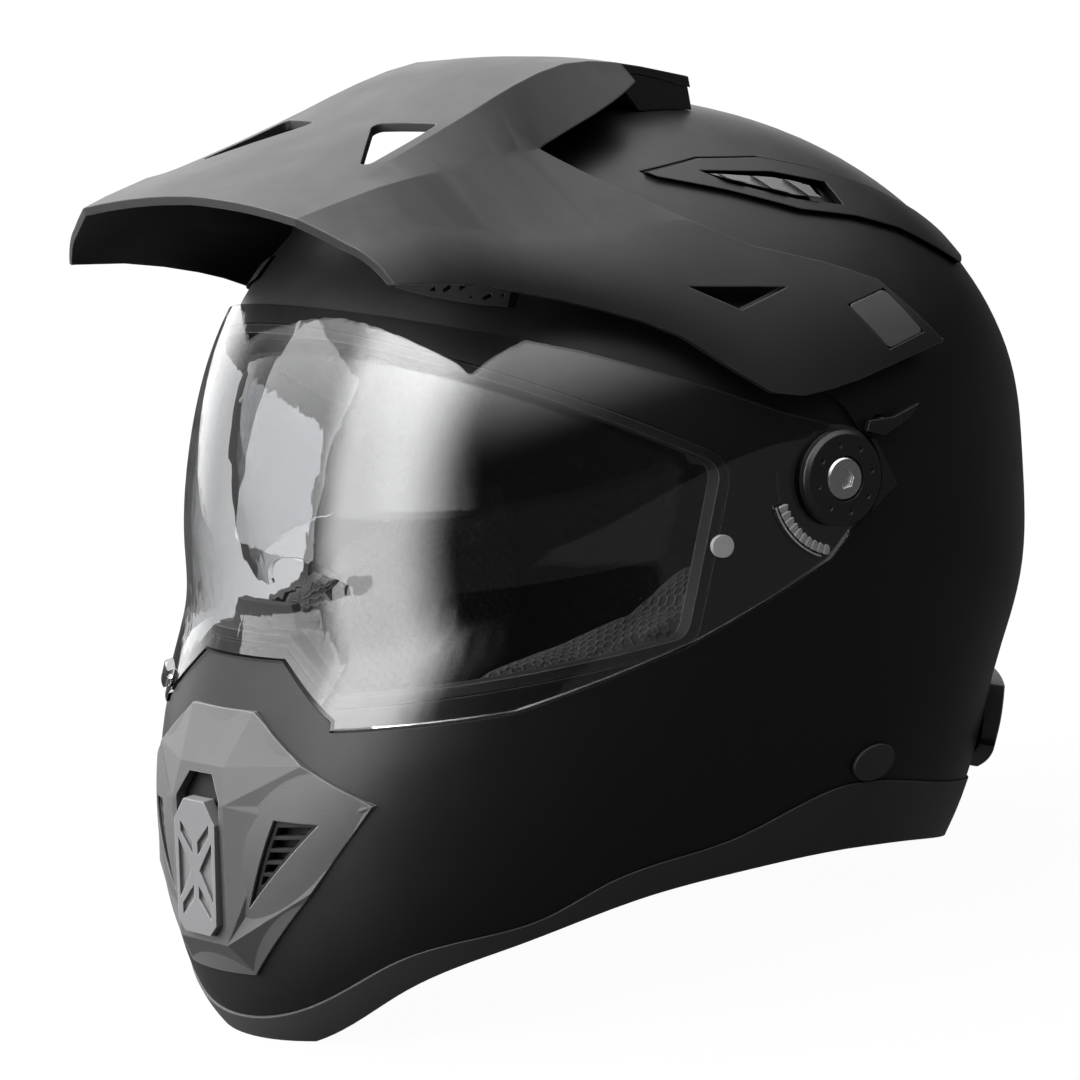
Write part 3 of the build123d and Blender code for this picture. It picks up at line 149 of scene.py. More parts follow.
def group(name, inputs, outputs):
    """An empty shader group with its named sockets; returns the tree, its input node and its output node"""
    tree = bpy.data.node_groups.new(name, "ShaderNodeTree")
    for label, kind, value in inputs:
        socket = tree.interface.new_socket(label, in_out="INPUT", socket_type="NodeSocket" + kind)
        if value is not None:
            socket.default_value = value
    for label, kind in outputs:
        tree.interface.new_socket(label, in_out="OUTPUT", socket_type="NodeSocket" + kind)
    return tree, tree.nodes.new("NodeGroupInput").outputs, tree.nodes.new("NodeGroupOutput").inputs


def place_group(tree, which, **inputs):
    """Adds a shader group to a material with its own values; returns its outputs"""
    return put(tree, "ShaderNodeGroup", {"node_tree": which}, **inputs).outputs


# Shared effects
grain, given, result = group(
    "moulded_grain",
    [("Place", "Vector", None), ("Size", "Float", 0.5)],
    [("Height", "Float"), ("Tone", "Float")],
)
cells = vector_sum(grain, "SCALE", given["Place"])
shrink = sum_up(grain, "DIVIDE", 1 / MM, given["Size"])
grain.links.new(shrink, cells.node.inputs["Scale"])
pebbles = put(grain, "ShaderNodeTexVoronoi", {"feature": "SMOOTH_F1"}, Vector=cells, Scale=1.0,
              Smoothness=0.6)
fine = put(grain, "ShaderNodeTexNoise", Vector=cells, Scale=0.8, Detail=3.0, Roughness=0.55)
broad = put(grain, "ShaderNodeTexNoise", Vector=given["Place"], Scale=14.0, Detail=4.0, Roughness=0.6)
height = sum_up(grain, "ADD", sum_up(grain, "MULTIPLY", pebbles.outputs["Distance"], 0.7),
                fine.outputs["Fac"])
grain.links.new(height, result["Height"])
grain.links.new(broad.outputs["Fac"], result["Tone"])

# Edges lightened along a bevel mask, patchily: partly rubbed wear, partly a painted highlight
wear_and_highlight, given, result = group(
    "edge_wear_and_highlight",
    [("Place", "Vector", None), ("Radius", "Float", 1.0 * MM), ("Amount", "Float", 1.0)],
    [("Edge", "Float"), ("Normal", "Vector")],
)
softened = put(wear_and_highlight, "ShaderNodeBevel", {"samples": 6}, Radius=given["Radius"]).outputs[0]
unsoftened = put(wear_and_highlight, "ShaderNodeNewGeometry").outputs["Normal"]
turned = vector_sum(wear_and_highlight, "DOT_PRODUCT", softened, unsoftened, out=1)
at_edge = span(wear_and_highlight, turned, 0.995, 0.9)
patchy = put(wear_and_highlight, "ShaderNodeTexNoise", Vector=given["Place"], Scale=90.0, Detail=5.0, Roughness=0.65)
edges_worn_and_highlit = span(wear_and_highlight, patchy.outputs["Fac"], 0.3, 0.62, 0.35, 1.0)
edge_worn_and_highlit = sum_up(wear_and_highlight, "MULTIPLY", sum_up(wear_and_highlight, "MULTIPLY", at_edge, edges_worn_and_highlit), given["Amount"])
wear_and_highlight.links.new(edge_worn_and_highlit, result["Edge"])
wear_and_highlight.links.new(softened, result["Normal"])

dust, given, result = group(
    "settled_dust",
    [("Place", "Vector", None), ("Amount", "Float", 1.0)],
    [("Dust", "Float")],
)
slope = put(dust, "ShaderNodeSeparateXYZ", Vector=put(dust, "ShaderNodeNewGeometry").outputs["Normal"])
upward = span(dust, slope.outputs["Z"], 0.1, 1.0)
drift = put(dust, "ShaderNodeTexNoise", Vector=given["Place"], Scale=35.0, Detail=6.0, Roughness=0.7)
spots = span(dust, drift.outputs["Fac"], 0.4, 0.75)
settled = sum_up(dust, "MULTIPLY", sum_up(dust, "MULTIPLY", upward, spots), given["Amount"])
dust.links.new(settled, result["Dust"])

net, given, result = group(
    "spacer_net",
    [("Place", "Vector", None), ("Pitch", "Float", 3.0 * MM)],
    [("Hole", "Float"), ("Height", "Float")],
)
ROW_PITCH = sqrt(3)
facing = put(net, "ShaderNodeSeparateXYZ", Vector=put(net, "ShaderNodeNewGeometry").outputs["True Normal"])
where = put(net, "ShaderNodeSeparateXYZ", Vector=given["Place"])
sideways = sum_up(net, "GREATER_THAN", sum_up(net, "ABSOLUTE", facing.outputs["X"]), 0.55)
across = sum_up(net, "ADD", where.outputs["Y"], sum_up(net, "MULTIPLY", where.outputs["X"], 0.3))
from_side = put(net, "ShaderNodeCombineXYZ", X=across, Y=where.outputs["Z"]).outputs[0]
from_top = put(net, "ShaderNodeCombineXYZ", X=across, Y=where.outputs["X"]).outputs[0]
chosen = put(net, "ShaderNodeMix", {"data_type": "VECTOR"})
for place_in_mix, value in ((0, sideways), (4, from_top), (5, from_side)):
    net.links.new(value, chosen.inputs[place_in_mix])
cells = vector_sum(net, "SCALE", chosen.outputs[1])
net.links.new(sum_up(net, "DIVIDE", 1.0, given["Pitch"]), cells.node.inputs["Scale"])
cells = vector_sum(net, "DIVIDE", cells, (1, ROW_PITCH, 1))
away = []
for shift in (0, 0.5):
    moved = vector_sum(net, "ADD", cells, (shift, shift, 0))
    inside = vector_sum(net, "SUBTRACT", vector_sum(net, "FRACTION", moved), (0.5, 0.5, 0))
    away.append(vector_sum(net, "LENGTH", vector_sum(net, "MULTIPLY", inside, (1, ROW_PITCH, 0)), out=1))
nearest = sum_up(net, "MINIMUM", *away)
net.links.new(span(net, nearest, 0.42, 0.34), result["Hole"])
net.links.new(span(net, nearest, 0.3, 0.55), result["Height"])


# Materials
def material(name):
    """An empty material; returns it with its tree, its surface shader and its object coordinates"""
    made = bpy.data.materials.new(name)
    made.use_nodes = True
    tree = made.node_tree
    shader = tree.nodes["Principled BSDF"]
    return made, tree, shader, put(tree, "ShaderNodeTexCoord").outputs["Object"]


def plastic(name, colour, roughness, grain_size, grain_depth, wear_and_highlight_amount=0.5, dust_amount=0.3, specular=0.5,
            edge_radius=0.5, painted_edge_highlight=None):
    """Moulded or painted plastic: grain, edges lightened partly by rubbed wear and partly as a painted
    highlight, settled dust
    """
    made, tree, shader, place = material(name)
    base = (*colour, 1)
    wear_and_highlight_colour = (*(painted_edge_highlight or [2.2 * c + 0.02 for c in colour]), 1)
    texture = place_group(tree, grain, Place=place, Size=grain_size)
    edges = place_group(tree, wear_and_highlight, Place=place, Radius=edge_radius * MM, Amount=wear_and_highlight_amount)
    powder = place_group(tree, dust, Place=place, Amount=dust_amount)
    toned = blend_colour(tree, span(tree, texture["Tone"], 0.3, 0.7), base, (*[0.8 * c for c in colour], 1))
    # Edge colour: rubbed wear, and where a highlight colour is given, a painted highlight
    edges_worn_and_highlit = blend_colour(tree, edges["Edge"], toned, wear_and_highlight_colour)
    dusted = blend_colour(tree, sum_up(tree, "MULTIPLY", powder["Dust"], 0.12), edges_worn_and_highlit, (0.32, 0.31, 0.3, 1))
    tree.links.new(dusted, shader.inputs["Base Color"])
    spread = span(tree, texture["Tone"], 0.3, 0.7, roughness - 0.04, roughness + 0.05)
    tree.links.new(sum_up(tree, "SUBTRACT", spread, sum_up(tree, "MULTIPLY", edges["Edge"], 0.08)),
                   shader.inputs["Roughness"])
    bump = put(tree, "ShaderNodeBump", Height=texture["Height"], Distance=grain_depth * MM, Strength=0.6,
               Normal=edges["Normal"])
    tree.links.new(bump.outputs[0], shader.inputs["Normal"])
    shader.inputs["Specular IOR Level"].default_value = specular
    return made


def lens(name, colour, shade, reflect_index):
    """Clear sheet: refracting where it is seen, and a plain filter for shadow rays and scattered light"""
    made, tree, shader, place = material(name)
    haze = put(tree, "ShaderNodeTexNoise", Vector=place, Scale=60.0, Detail=5.0, Roughness=0.7)
    tree.links.new(span(tree, haze.outputs["Fac"], 0.35, 0.75, 0.0, 0.015), shader.inputs["Roughness"])
    shader.inputs["Base Color"].default_value = (*colour, 1)
    shader.inputs["Transmission Weight"].default_value = 1
    shader.inputs["IOR"].default_value = reflect_index
    path = put(tree, "ShaderNodeLightPath").outputs
    behind = sum_up(tree, "MULTIPLY", sum_up(tree, "GREATER_THAN", path["Glossy Depth"], 0.5),
                    sum_up(tree, "GREATER_THAN", path["Transmission Depth"], 1.5))
    scattered = sum_up(tree, "MAXIMUM", sum_up(tree, "GREATER_THAN", path["Diffuse Depth"], 0.5), behind)
    light = sum_up(tree, "MAXIMUM", path["Is Shadow Ray"], scattered)
    clear = put(tree, "ShaderNodeBsdfTransparent", Color=(shade, shade, shade, 1))
    mixed = put(tree, "ShaderNodeMixShader")
    tree.links.new(light, mixed.inputs[0])
    tree.links.new(shader.outputs[0], mixed.inputs[1])
    tree.links.new(clear.outputs[0], mixed.inputs[2])
    tree.links.new(mixed.outputs[0], tree.nodes["Material Output"].inputs["Surface"])
    return made


def metal(name, colour, roughness):
    """Bright turned metal with fine scratches"""
    made, tree, shader, place = material(name)
    drawn_out = vector_sum(tree, "MULTIPLY", place, (900, 60, 60))
    scratch = put(tree, "ShaderNodeTexNoise", Vector=drawn_out, Scale=12.0, Detail=4.0)
    edges = place_group(tree, wear_and_highlight, Place=place, Radius=0.3 * MM, Amount=1.0)
    tree.links.new(span(tree, scratch.outputs["Fac"], 0.3, 0.7, roughness, roughness + 0.12),
                   shader.inputs["Roughness"])
    # Edges brightened towards near white: partly worn bright, partly a painted highlight
    brightened = blend_colour(tree, edges["Edge"], (*colour, 1), (0.9, 0.9, 0.9, 1))
    tree.links.new(brightened, shader.inputs["Base Color"])
    tree.links.new(edges["Normal"], shader.inputs["Normal"])
    shader.inputs["Metallic"].default_value = 1
    return made


def foam(name, colour):
    """Expanded bead foam, darker between the beads where the bump sinks, as painted shade"""
    made, tree, shader, place = material(name)
    beads = put(tree, "ShaderNodeTexVoronoi", Vector=place, Scale=330.0)
    # Darker between the beads: painted shade in the grooves
    shaded_between_beads = blend_colour(tree, span(tree, beads.outputs["Distance"], 0.2, 0.7), (*colour, 1),
                        (*[0.4 * c for c in colour], 1))
    tree.links.new(shaded_between_beads, shader.inputs["Base Color"])
    bump = put(tree, "ShaderNodeBump", Height=beads.outputs["Distance"], Distance=-0.5 * MM, Strength=0.8)
    tree.links.new(bump.outputs[0], shader.inputs["Normal"])
    shader.inputs["Roughness"].default_value = 0.8
    return made


def spacer_cloth(name, yarn, depth, pitch, hole_depth):
    """Black spacer cloth with a regular net of holes, painted near black as shade inside them, and a soft
    nap
    """
    made, tree, shader, place = material(name)
    holes = place_group(tree, net, Place=place, Pitch=pitch * MM)
    fuzz = put(tree, "ShaderNodeTexNoise", Vector=place, Scale=2500.0, Detail=2.0)
    napped = blend_colour(tree, span(tree, fuzz.outputs["Fac"], 0.3, 0.7), (*yarn, 1),
                          (*[0.55 * c for c in yarn], 1))
    # Holes painted near black: painted shade inside the holes
    tree.links.new(blend_colour(tree, holes["Hole"], napped, (*depth, 1)), shader.inputs["Base Color"])
    raised = sum_up(tree, "ADD", holes["Height"], sum_up(tree, "MULTIPLY", fuzz.outputs["Fac"], 0.15))
    bump = put(tree, "ShaderNodeBump", Height=raised, Distance=hole_depth * MM, Strength=1.0)
    tree.links.new(bump.outputs[0], shader.inputs["Normal"])
    shader.inputs["Roughness"].default_value = 0.75
    shader.inputs["Sheen Weight"].default_value = 0.06
    shader.inputs["Sheen Roughness"].default_value = 0.4
    return made


def woven(name, yarn, pitch):
    """Plain woven webbing, its ribs across the strap, darker in the weave's hollows as painted shade"""
    made, tree, shader, _ = material(name)
    place = put(tree, "ShaderNodeUVMap").outputs[0]
    across = put(tree, "ShaderNodeTexWave", {"bands_direction": "X"}, Vector=place,
                 Scale=0.5 / (pitch * MM) / pi, Distortion=0.3)
    along = put(tree, "ShaderNodeTexWave", {"bands_direction": "Y"}, Vector=place,
                Scale=0.25 / (pitch * MM) / pi, Distortion=0.3)
    raised = sum_up(tree, "MULTIPLY", across.outputs["Fac"], along.outputs["Fac"])
    # Darker where the weave sinks: painted shade in its hollows
    ribbed_with_shade = blend_colour(tree, raised, (*[0.4 * c for c in yarn], 1), (*yarn, 1))
    tree.links.new(ribbed_with_shade, shader.inputs["Base Color"])
    bump = put(tree, "ShaderNodeBump", Height=raised, Distance=0.25 * MM)
    tree.links.new(bump.outputs[0], shader.inputs["Normal"])
    shader.inputs["Roughness"].default_value = 0.7
    shader.inputs["Sheen Weight"].default_value = 0.2
    return made


# Where a row gives a last colour, it is a painted highlight along that part's edges
finishes = {
    "shell": plastic("matte_black_paint",
                     (0.0045, 0.0045, 0.005), 0.42, 0.25, 0.012, 0.15, 0.2, 0.36, 0.8),
    "peak": plastic("matte_black_peak",
                    (0.01, 0.01, 0.011), 0.5, 0.3, 0.02, 0.45, 0.3, 0.4, 0.7, (0.16, 0.16, 0.165)),
    "trim": plastic("dark_grey_trim",
                    (0.03, 0.03, 0.031), 0.45, 0.5, 0.03, 0.6, 0.2, 0.45, 0.6, (0.12, 0.12, 0.125)),
    "vent": plastic("grained_vent_plastic",
                    (0.05, 0.05, 0.052), 0.46, 0.7, 0.06, 1.0, 0.2, 0.5, 0.6, (0.2, 0.2, 0.205)),
    "slider": plastic("satin_slider_plastic",
                      (0.12, 0.12, 0.124), 0.4, 0.5, 0.03, 1.0, 0.2, 0.5, 0.5, (0.25, 0.25, 0.26)),
    "grille": plastic("matte_grille_plastic", (0.01, 0.01, 0.01), 0.6, 0.5, 0.03, 0.3, 0.1, 0.3, 0.3),
    "plug": plastic("satin_grey_plug", (0.085, 0.085, 0.088), 0.42, 0.5, 0.02, 0.5, 0.2, 0.5, 0.5),
    "pivot": plastic("satin_black_pivot", (0.012, 0.012, 0.013), 0.3, 0.4, 0.01, 0.6, 0.1, 0.5, 0.6),
    "gasket": plastic("black_rubber",
                      (0.008, 0.008, 0.008), 0.55, 0.6, 0.02, 1.0, 0.1, 0.35, 0.6, (0.22, 0.22, 0.22)),
    "guard": plastic("soft_black_rubber", (0.02, 0.02, 0.021), 0.6, 0.6, 0.04, 0.3, 0.3, 0.4, 0.8),
    "buckle": plastic("black_buckle_plastic", (0.015, 0.015, 0.016), 0.45, 0.5, 0.03, 0.6, 0.2, 0.5, 0.6),
    "screw": metal("bright_screw_steel", (0.62, 0.62, 0.64), 0.18),
    "latch": metal("satin_aluminium", (0.5, 0.5, 0.52), 0.35),
    "clear_lens": lens("clear_shield", (0.84, 0.845, 0.855), 0.75, 1.585),
    "tinted_lens": lens("light_smoke_visor", (0.86, 0.87, 0.89), 0.85, 1.585),
    "foam": foam("black_bead_foam", (0.008, 0.008, 0.0085)),
    "cloth": spacer_cloth("black_spacer_cloth", (0.02, 0.02, 0.021), (0.001, 0.001, 0.001), 3.8, 1.0),
    "webbing": woven("black_webbing", (0.022, 0.022, 0.023), 1.1),
}


def finish_node(name):
    """Gives a CAD node the finish of its slot"""
    mesh = nodes[name].data
    mesh.materials.clear()
    mesh.materials.append(finishes[node_slot[name]])


def stand_in(name, mesh, node, body=None, slot=None):
    """Makes a mesh a piece that stands for a CAD node and moves with its body"""
    piece = link(bpy.data.objects.new(name, mesh))
    mesh.materials.clear()
    mesh.materials.append(finishes[slot or node_slot[node]])
    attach(piece, body or node_body[node])
    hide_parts(node)
    return piece


CREASE = 28                # degrees, above which an edge stays sharp
DOUBLES = 0.004 * MM


def merged(node, crease=CREASE):
    """A CAD node's mesh with its doubles merged, its curved faces smooth and its edges sharp"""
    mesh = nodes[node].data.copy()
    work = bmesh.new()
    work.from_mesh(mesh)
    bmesh.ops.remove_doubles(work, verts=work.verts, dist=DOUBLES)
    for edge in work.edges:
        edge.smooth = len(edge.link_faces) == 2 and edge.calc_face_angle(0) < radians(crease)
    for face in work.faces:
        face.smooth = True
    work.to_mesh(mesh)
    work.free()
    if "custom_normal" in mesh.attributes:
        mesh.attributes.remove(mesh.attributes["custom_normal"])
    return mesh


SMOOTH_NODES = (
    "outer_shell", "peak", "face_shield", "sun_visor", "base_trim", "rear_spoiler", "eyeport_gasket",
    "chin_vent_cover", "breath_guard", "left_pivot_cover", "right_pivot_cover", "left_pivot_screw",
    "right_pivot_screw", "left_strap_cap", "right_strap_cap", "left_top_vent_bezel", "right_top_vent_bezel",
)
SOFT_NODES = (
    "crown_pad", "left_cheek_pad", "right_cheek_pad", "neck_roll", "chin_curtain", "left_chin_strap",
    "right_chin_strap",
)
# Degrees again, where the usual angle would soften facets
CREASES = {"chin_vent_cover": 3, "peak": 14, "breath_guard": 12}
for name in nodes:
    if name in SMOOTH_NODES:
        stand_in(name + "_skin", merged(name, CREASES.get(name, CREASE)), name)
    elif name not in SOFT_NODES:
        finish_node(name)


PLUG_ROUNDING = 2.0


def rounded(node, radius, steps=4):
    """A CAD node's mesh with the corners of its outline rounded, along X"""
    mesh = merged(node)
    work = bmesh.new()
    work.from_mesh(mesh)
    bmesh.ops.dissolve_limit(work, angle_limit=radians(2), verts=work.verts, edges=work.edges)
    upright = []
    for edge in work.edges:
        along = (edge.verts[1].co - edge.verts[0].co).normalized()
        if abs(along.x) > 0.8 and edge.calc_length() > 0.8 * MM and edge.calc_face_angle(0) > radians(40):
            upright.append(edge)
    bmesh.ops.bevel(work, geom=upright, offset=radius * MM, segments=steps, profile=0.5, affect="EDGES")
    for face in work.faces:
        face.smooth = True
    for edge in work.edges:
        edge.smooth = edge.calc_face_angle(0) < radians(35)
    work.to_mesh(mesh)
    work.free()
    return mesh


for hand in ("left", "right"):
    stand_in(hand + "_rounded_plug", rounded(hand + "_peak_plug", PLUG_ROUNDING), hand + "_peak_plug")


# Frosted rack on each ear of the shield, along its detent teeth: a toothed strip and a thin rail outside it
RACK_START, RACK_END, RAIL_END = radians(187.5), radians(250), radians(243)
RACK_TEETH = 10
RACK_INSIDE, RACK_WIDTH = 22.9, 2.2
RAIL_INSIDE, RAIL_WIDTH = 26.0, 0.5
TOOTH_DEPTH = 0.9
TOOTH_SHARES = (0, 0.9, 1, 0.5, 0.7, 0.2)     # outline of one tooth
OUTSIDE = 200                                 # a place well outside the shield, to look inwards from
RACK_CLEARANCE, RACK_HEIGHT, TOOTH_HEIGHT = 0.12, 0.3, 0.4


def rack(side):
    """Toothed strip and rail on arcs about the pivot axis, lying on the shield's outer face"""
    work = bmesh.new()
    work.from_mesh(nodes["face_shield"].data)
    face = BVHTree.FromBMesh(work)
    work.clear()
    count = RACK_TEETH * len(TOOTH_SHARES)
    for inside, width, depth, last in ((RACK_INSIDE, RACK_WIDTH, TOOTH_DEPTH, RACK_END),
                                       (RAIL_INSIDE, RAIL_WIDTH, 0.0, RAIL_END)):
        rows = []
        for i in range(count + 1):
            angle = RACK_START + (last - RACK_START) * i / count
            tooth = TOOTH_SHARES[i % len(TOOTH_SHARES)]
            row = []
            for reach in (inside - depth * tooth, inside + width + 0.3 * depth * tooth):
                spot = PIVOT + Vector((side * OUTSIDE, reach * cos(angle), reach * sin(angle))) * MM
                clear = Vector((side * RACK_CLEARANCE * MM, 0, 0))
                row.append(face.ray_cast(spot, Vector((-side, 0, 0)))[0] + clear)
            high = Vector((side * (RACK_HEIGHT + TOOTH_HEIGHT * depth * tooth) * MM, 0, 0))
            rows.append([work.verts.new(v) for v in row + [row[0] + high, row[1] + high]])
        for a, b in zip(rows, rows[1:]):
            for i, j in ((0, 1), (1, 3), (3, 2), (2, 0)):
                work.faces.new((a[i], a[j], b[j], b[i]))
        for end in (rows[0], rows[-1]):
            work.faces.new((end[0], end[1], end[3], end[2]))
    bmesh.ops.recalc_face_normals(work, faces=work.faces)
    mesh = bpy.data.meshes.new("rack")
    work.to_mesh(mesh)
    work.free()
    mesh.materials.append(frosted)
    piece = link(bpy.data.objects.new(("left" if side > 0 else "right") + "_detent_rack", mesh))
    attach(piece, "shield")


# Near white edges on the rack: a painted highlight
frosted = plastic("frosted_clear_plastic", (0.3, 0.3, 0.31), 0.35, 0.35, 0.08, 1.0, 0.0, 0.5, 0.3,
                  (0.8, 0.8, 0.8))
for side in (1, -1):
    rack(side)
# Near white edges on the pins: a painted highlight
pale = plastic("pale_pin_plastic", (0.42, 0.42, 0.43), 0.25, 0.5, 0.01, 0.6, 0.0, 0.5, 0.5, (0.8, 0.8, 0.8))
for hand in ("left", "right"):
    nodes[hand + "_shield_pin"].data.materials[0] = pale


# Padding: cloth over foam, swollen by simulation inside the space of its CAD solid
PRESSURE = 4
LAST_FRAME = 20


def cushion(name, node, voxel, drawn_in, swell):
    """Padded piece from a CAD solid: remeshed, drawn in, blown up against a cap, and subdivided once"""
    blank = link(bpy.data.objects.new(name + "_blank", merged(node)))
    remesh = blank.modifiers.new("voxels", "REMESH")
    remesh.voxel_size = voxel * MM
    mesh = bpy.data.meshes.new_from_object(blank.evaluated_get(bpy.context.evaluated_depsgraph_get()))
    bpy.data.objects.remove(blank)
    count = len(mesh.vertices)
    points = np.zeros(count * 3)
    normals = np.zeros(count * 3)
    mesh.vertices.foreach_get("co", points)
    mesh.vertices.foreach_get("normal", normals)
    start = points.reshape(-1, 3) - normals.reshape(-1, 3) * drawn_in * MM
    mesh.vertices.foreach_set("co", start.ravel())
    work = link(bpy.data.objects.new(name + "_work", mesh))
    cloth = work.modifiers.new("cloth", "CLOTH")
    cloth.settings.use_pressure = True
    cloth.settings.uniform_pressure_force = PRESSURE
    cloth.settings.effector_weights.gravity = 0
    cloth.point_cache.frame_start = 1
    cloth.point_cache.frame_end = LAST_FRAME
    for step in range(1, LAST_FRAME + 1):
        scene.frame_set(step)
    swollen = bpy.data.meshes.new_from_object(work.evaluated_get(bpy.context.evaluated_depsgraph_get()))
    blown = np.zeros(count * 3)
    swollen.vertices.foreach_get("co", blown)
    move = blown.reshape(-1, 3) - start
    far = np.linalg.norm(move, axis=1, keepdims=True)
    move *= np.minimum(1, swell * MM / np.maximum(far, 1e-9))
    mesh.vertices.foreach_set("co", (start + move).ravel())
    work.modifiers.remove(cloth)
    bpy.data.meshes.remove(swollen)
    scene.frame_set(1)
    smoother = work.modifiers.new("finer", "SUBSURF")
    smoother.levels = smoother.render_levels = 1
    result = bpy.data.meshes.new_from_object(work.evaluated_get(bpy.context.evaluated_depsgraph_get()))
    bpy.data.objects.remove(work)
    result.polygons.foreach_set("use_smooth", [True] * len(result.polygons))
    piece = stand_in(name, result, node)
    return piece


cushion("left_cheek_cushion", "left_cheek_pad", 4.5, 2.5, 2.2)
cushion("right_cheek_cushion", "right_cheek_pad", 4.5, 2.5, 2.2)
cushion("crown_cushion", "crown_pad", 4.0, 1.6, 1.6)
cushion("neck_cushion", "neck_roll", 4.5, 2.5, 2.4)


# Webbing: a flat ribbon along the strap's line
STRAP_LINE = ((112.8, 65.5), (108.5, 49.9), (92.0, 33.6), (60.0, 23.6), (23.3, 20.5))
STRAP_MIDDLE = 31.0
STRAP_WIDTH = 23.6
STRAP_WALL = 1.6
STRAP_STEPS = 16          # points across each face
EDGE_SOFTNESS = 10        # power of the outline, which squares it off towards its edges
MAP_STEP = 1.5            # between neighbouring points on the map


def smooth_path(points):
    """Points of a soft curve along a line, by cutting its corners three times"""
    line = [Vector((x, 0, z)) for x, z in points]
    for _ in range(3):
        cut = [line[0]]
        for a, b in zip(line, line[1:]):
            cut += [a.lerp(b, 0.25), a.lerp(b, 0.75)]
        line = cut + [line[-1]]
    return line


def webbing(side):
    """One half of the chin strap as a ribbon with soft edges and a map along its length"""
    line = smooth_path(STRAP_LINE)
    profile = []
    for i in range(STRAP_STEPS + 1):
        share = 2 * i / STRAP_STEPS - 1
        profile.append((share * STRAP_WIDTH / 2, STRAP_WALL / 2 * (1 - abs(share) ** EDGE_SOFTNESS) ** 0.5))
    ring = profile + [(y, -h) for y, h in reversed(profile[1:-1])]
    work = bmesh.new()
    maps = work.loops.layers.uv.new("length")
    rows, travelled = [], 0.0
    for i, point in enumerate(line):
        ahead, behind = line[min(i + 1, len(line) - 1)], line[max(i - 1, 0)]
        along = (ahead - behind).normalized()
        out = Vector((along.z, 0, -along.x))
        if i:
            travelled += (point - line[i - 1]).length
        row = [work.verts.new(Vector((side * p.x, p.y, p.z)) * MM) for p in
               (point + out * h + Vector((0, STRAP_MIDDLE + y, 0)) for y, h in ring)]
        rows.append((row, travelled * MM))
    count = len(ring)
    for (low, from_start), (high, further) in zip(rows, rows[1:]):
        for i in range(count):
            j = (i + 1) % count
            face = work.faces.new((low[i], low[j], high[j], high[i]))
            distances = (from_start, from_start, further, further)
            for loop, far, k in zip(face.loops, distances, (i, i + 1, i + 1, i)):
                loop[maps].uv = (far, k * MAP_STEP * MM)
    for row, _ in (rows[0], rows[-1]):
        work.faces.new(row)
    bmesh.ops.recalc_face_normals(work, faces=work.faces)
    mesh = bpy.data.meshes.new("webbing")
    work.to_mesh(mesh)
    work.free()
    mesh.polygons.foreach_set("use_smooth", [True] * len(mesh.polygons))
    return mesh


# Chin strap halves as webbing ribbons, and the chin curtain as its merged CAD mesh; the curtain is a
# crescent inside its rectangle
strap_path = smooth_path(STRAP_LINE)
for side, word in ((1, "left"), (-1, "right")):
    ribbon = stand_in(word + "_webbing", webbing(side), word + "_chin_strap")
curtain = stand_in("chin_curtain_cloth", merged("chin_curtain"), "chin_curtain")

# Floor: white where it is seen straight or through a lens, dark where something shiny mirrors it
FLOOR_HALF = 12
FLOOR_SEEN, FLOOR_MIRRORED = 0.96, 0.11
FLOOR_SHADOWLESS = 0.9      # share of the seen floor that takes no shadow


def pale_floor():
    """Material of the floor"""
    made, tree, shader, _ = material("pale_floor")
    shader.inputs["Base Color"].default_value = (0.12, 0.12, 0.12, 1)
    shader.inputs["Roughness"].default_value = 0.9
    rays = put(tree, "ShaderNodeLightPath").outputs
    bounces = sum_up(tree, "ADD", rays["Diffuse Depth"], rays["Glossy Depth"])
    through_lens = sum_up(tree, "MULTIPLY", rays["Is Transmission Ray"],
                          sum_up(tree, "LESS_THAN", bounces, 0.5))
    seen = sum_up(tree, "MAXIMUM", rays["Is Camera Ray"], through_lens)
    mirrored = sum_up(tree, "MULTIPLY", sum_up(tree, "GREATER_THAN", rays["Glossy Depth"], 0.5),
                      sum_up(tree, "LESS_THAN", rays["Diffuse Depth"], 0.5))
    strength = sum_up(tree, "ADD", sum_up(tree, "MULTIPLY", seen, FLOOR_SEEN), FLOOR_MIRRORED)
    shown = put(tree, "ShaderNodeEmission", Color=(1, 1, 1, 1), Strength=strength)
    both = put(tree, "ShaderNodeMixShader")
    shared = sum_up(tree, "MAXIMUM", sum_up(tree, "MULTIPLY", seen, FLOOR_SHADOWLESS), mirrored)
    tree.links.new(shared, both.inputs[0])
    tree.links.new(shader.outputs[0], both.inputs[1])
    tree.links.new(shown.outputs[0], both.inputs[2])
    tree.links.new(both.outputs[0], tree.nodes["Material Output"].inputs["Surface"])
    return made


floor_mesh = bpy.data.meshes.new("floor")
corners = [(-FLOOR_HALF, -FLOOR_HALF, 0), (FLOOR_HALF, -FLOOR_HALF, 0), (FLOOR_HALF, FLOOR_HALF, 0),
           (-FLOOR_HALF, FLOOR_HALF, 0)]
floor_mesh.from_pydata(corners, [], [(0, 1, 2, 3)])
floor_mesh.materials.append(pale_floor())
floor = link(bpy.data.objects.new("floor", floor_mesh))

# Sky: white where it is seen, and shaped elsewhere, many times white towards -X. 1 is white
WALL_IN_MIRRORS, WALL_ON_ROUGH = 5.2, 1.3
SIDE_LIGHT = 11.0
FLANK_LIGHT = 1.7
TOP_LIGHT, TOP_ON_ROUGH = 2.6, 0.5
EVERYWHERE = 0.03


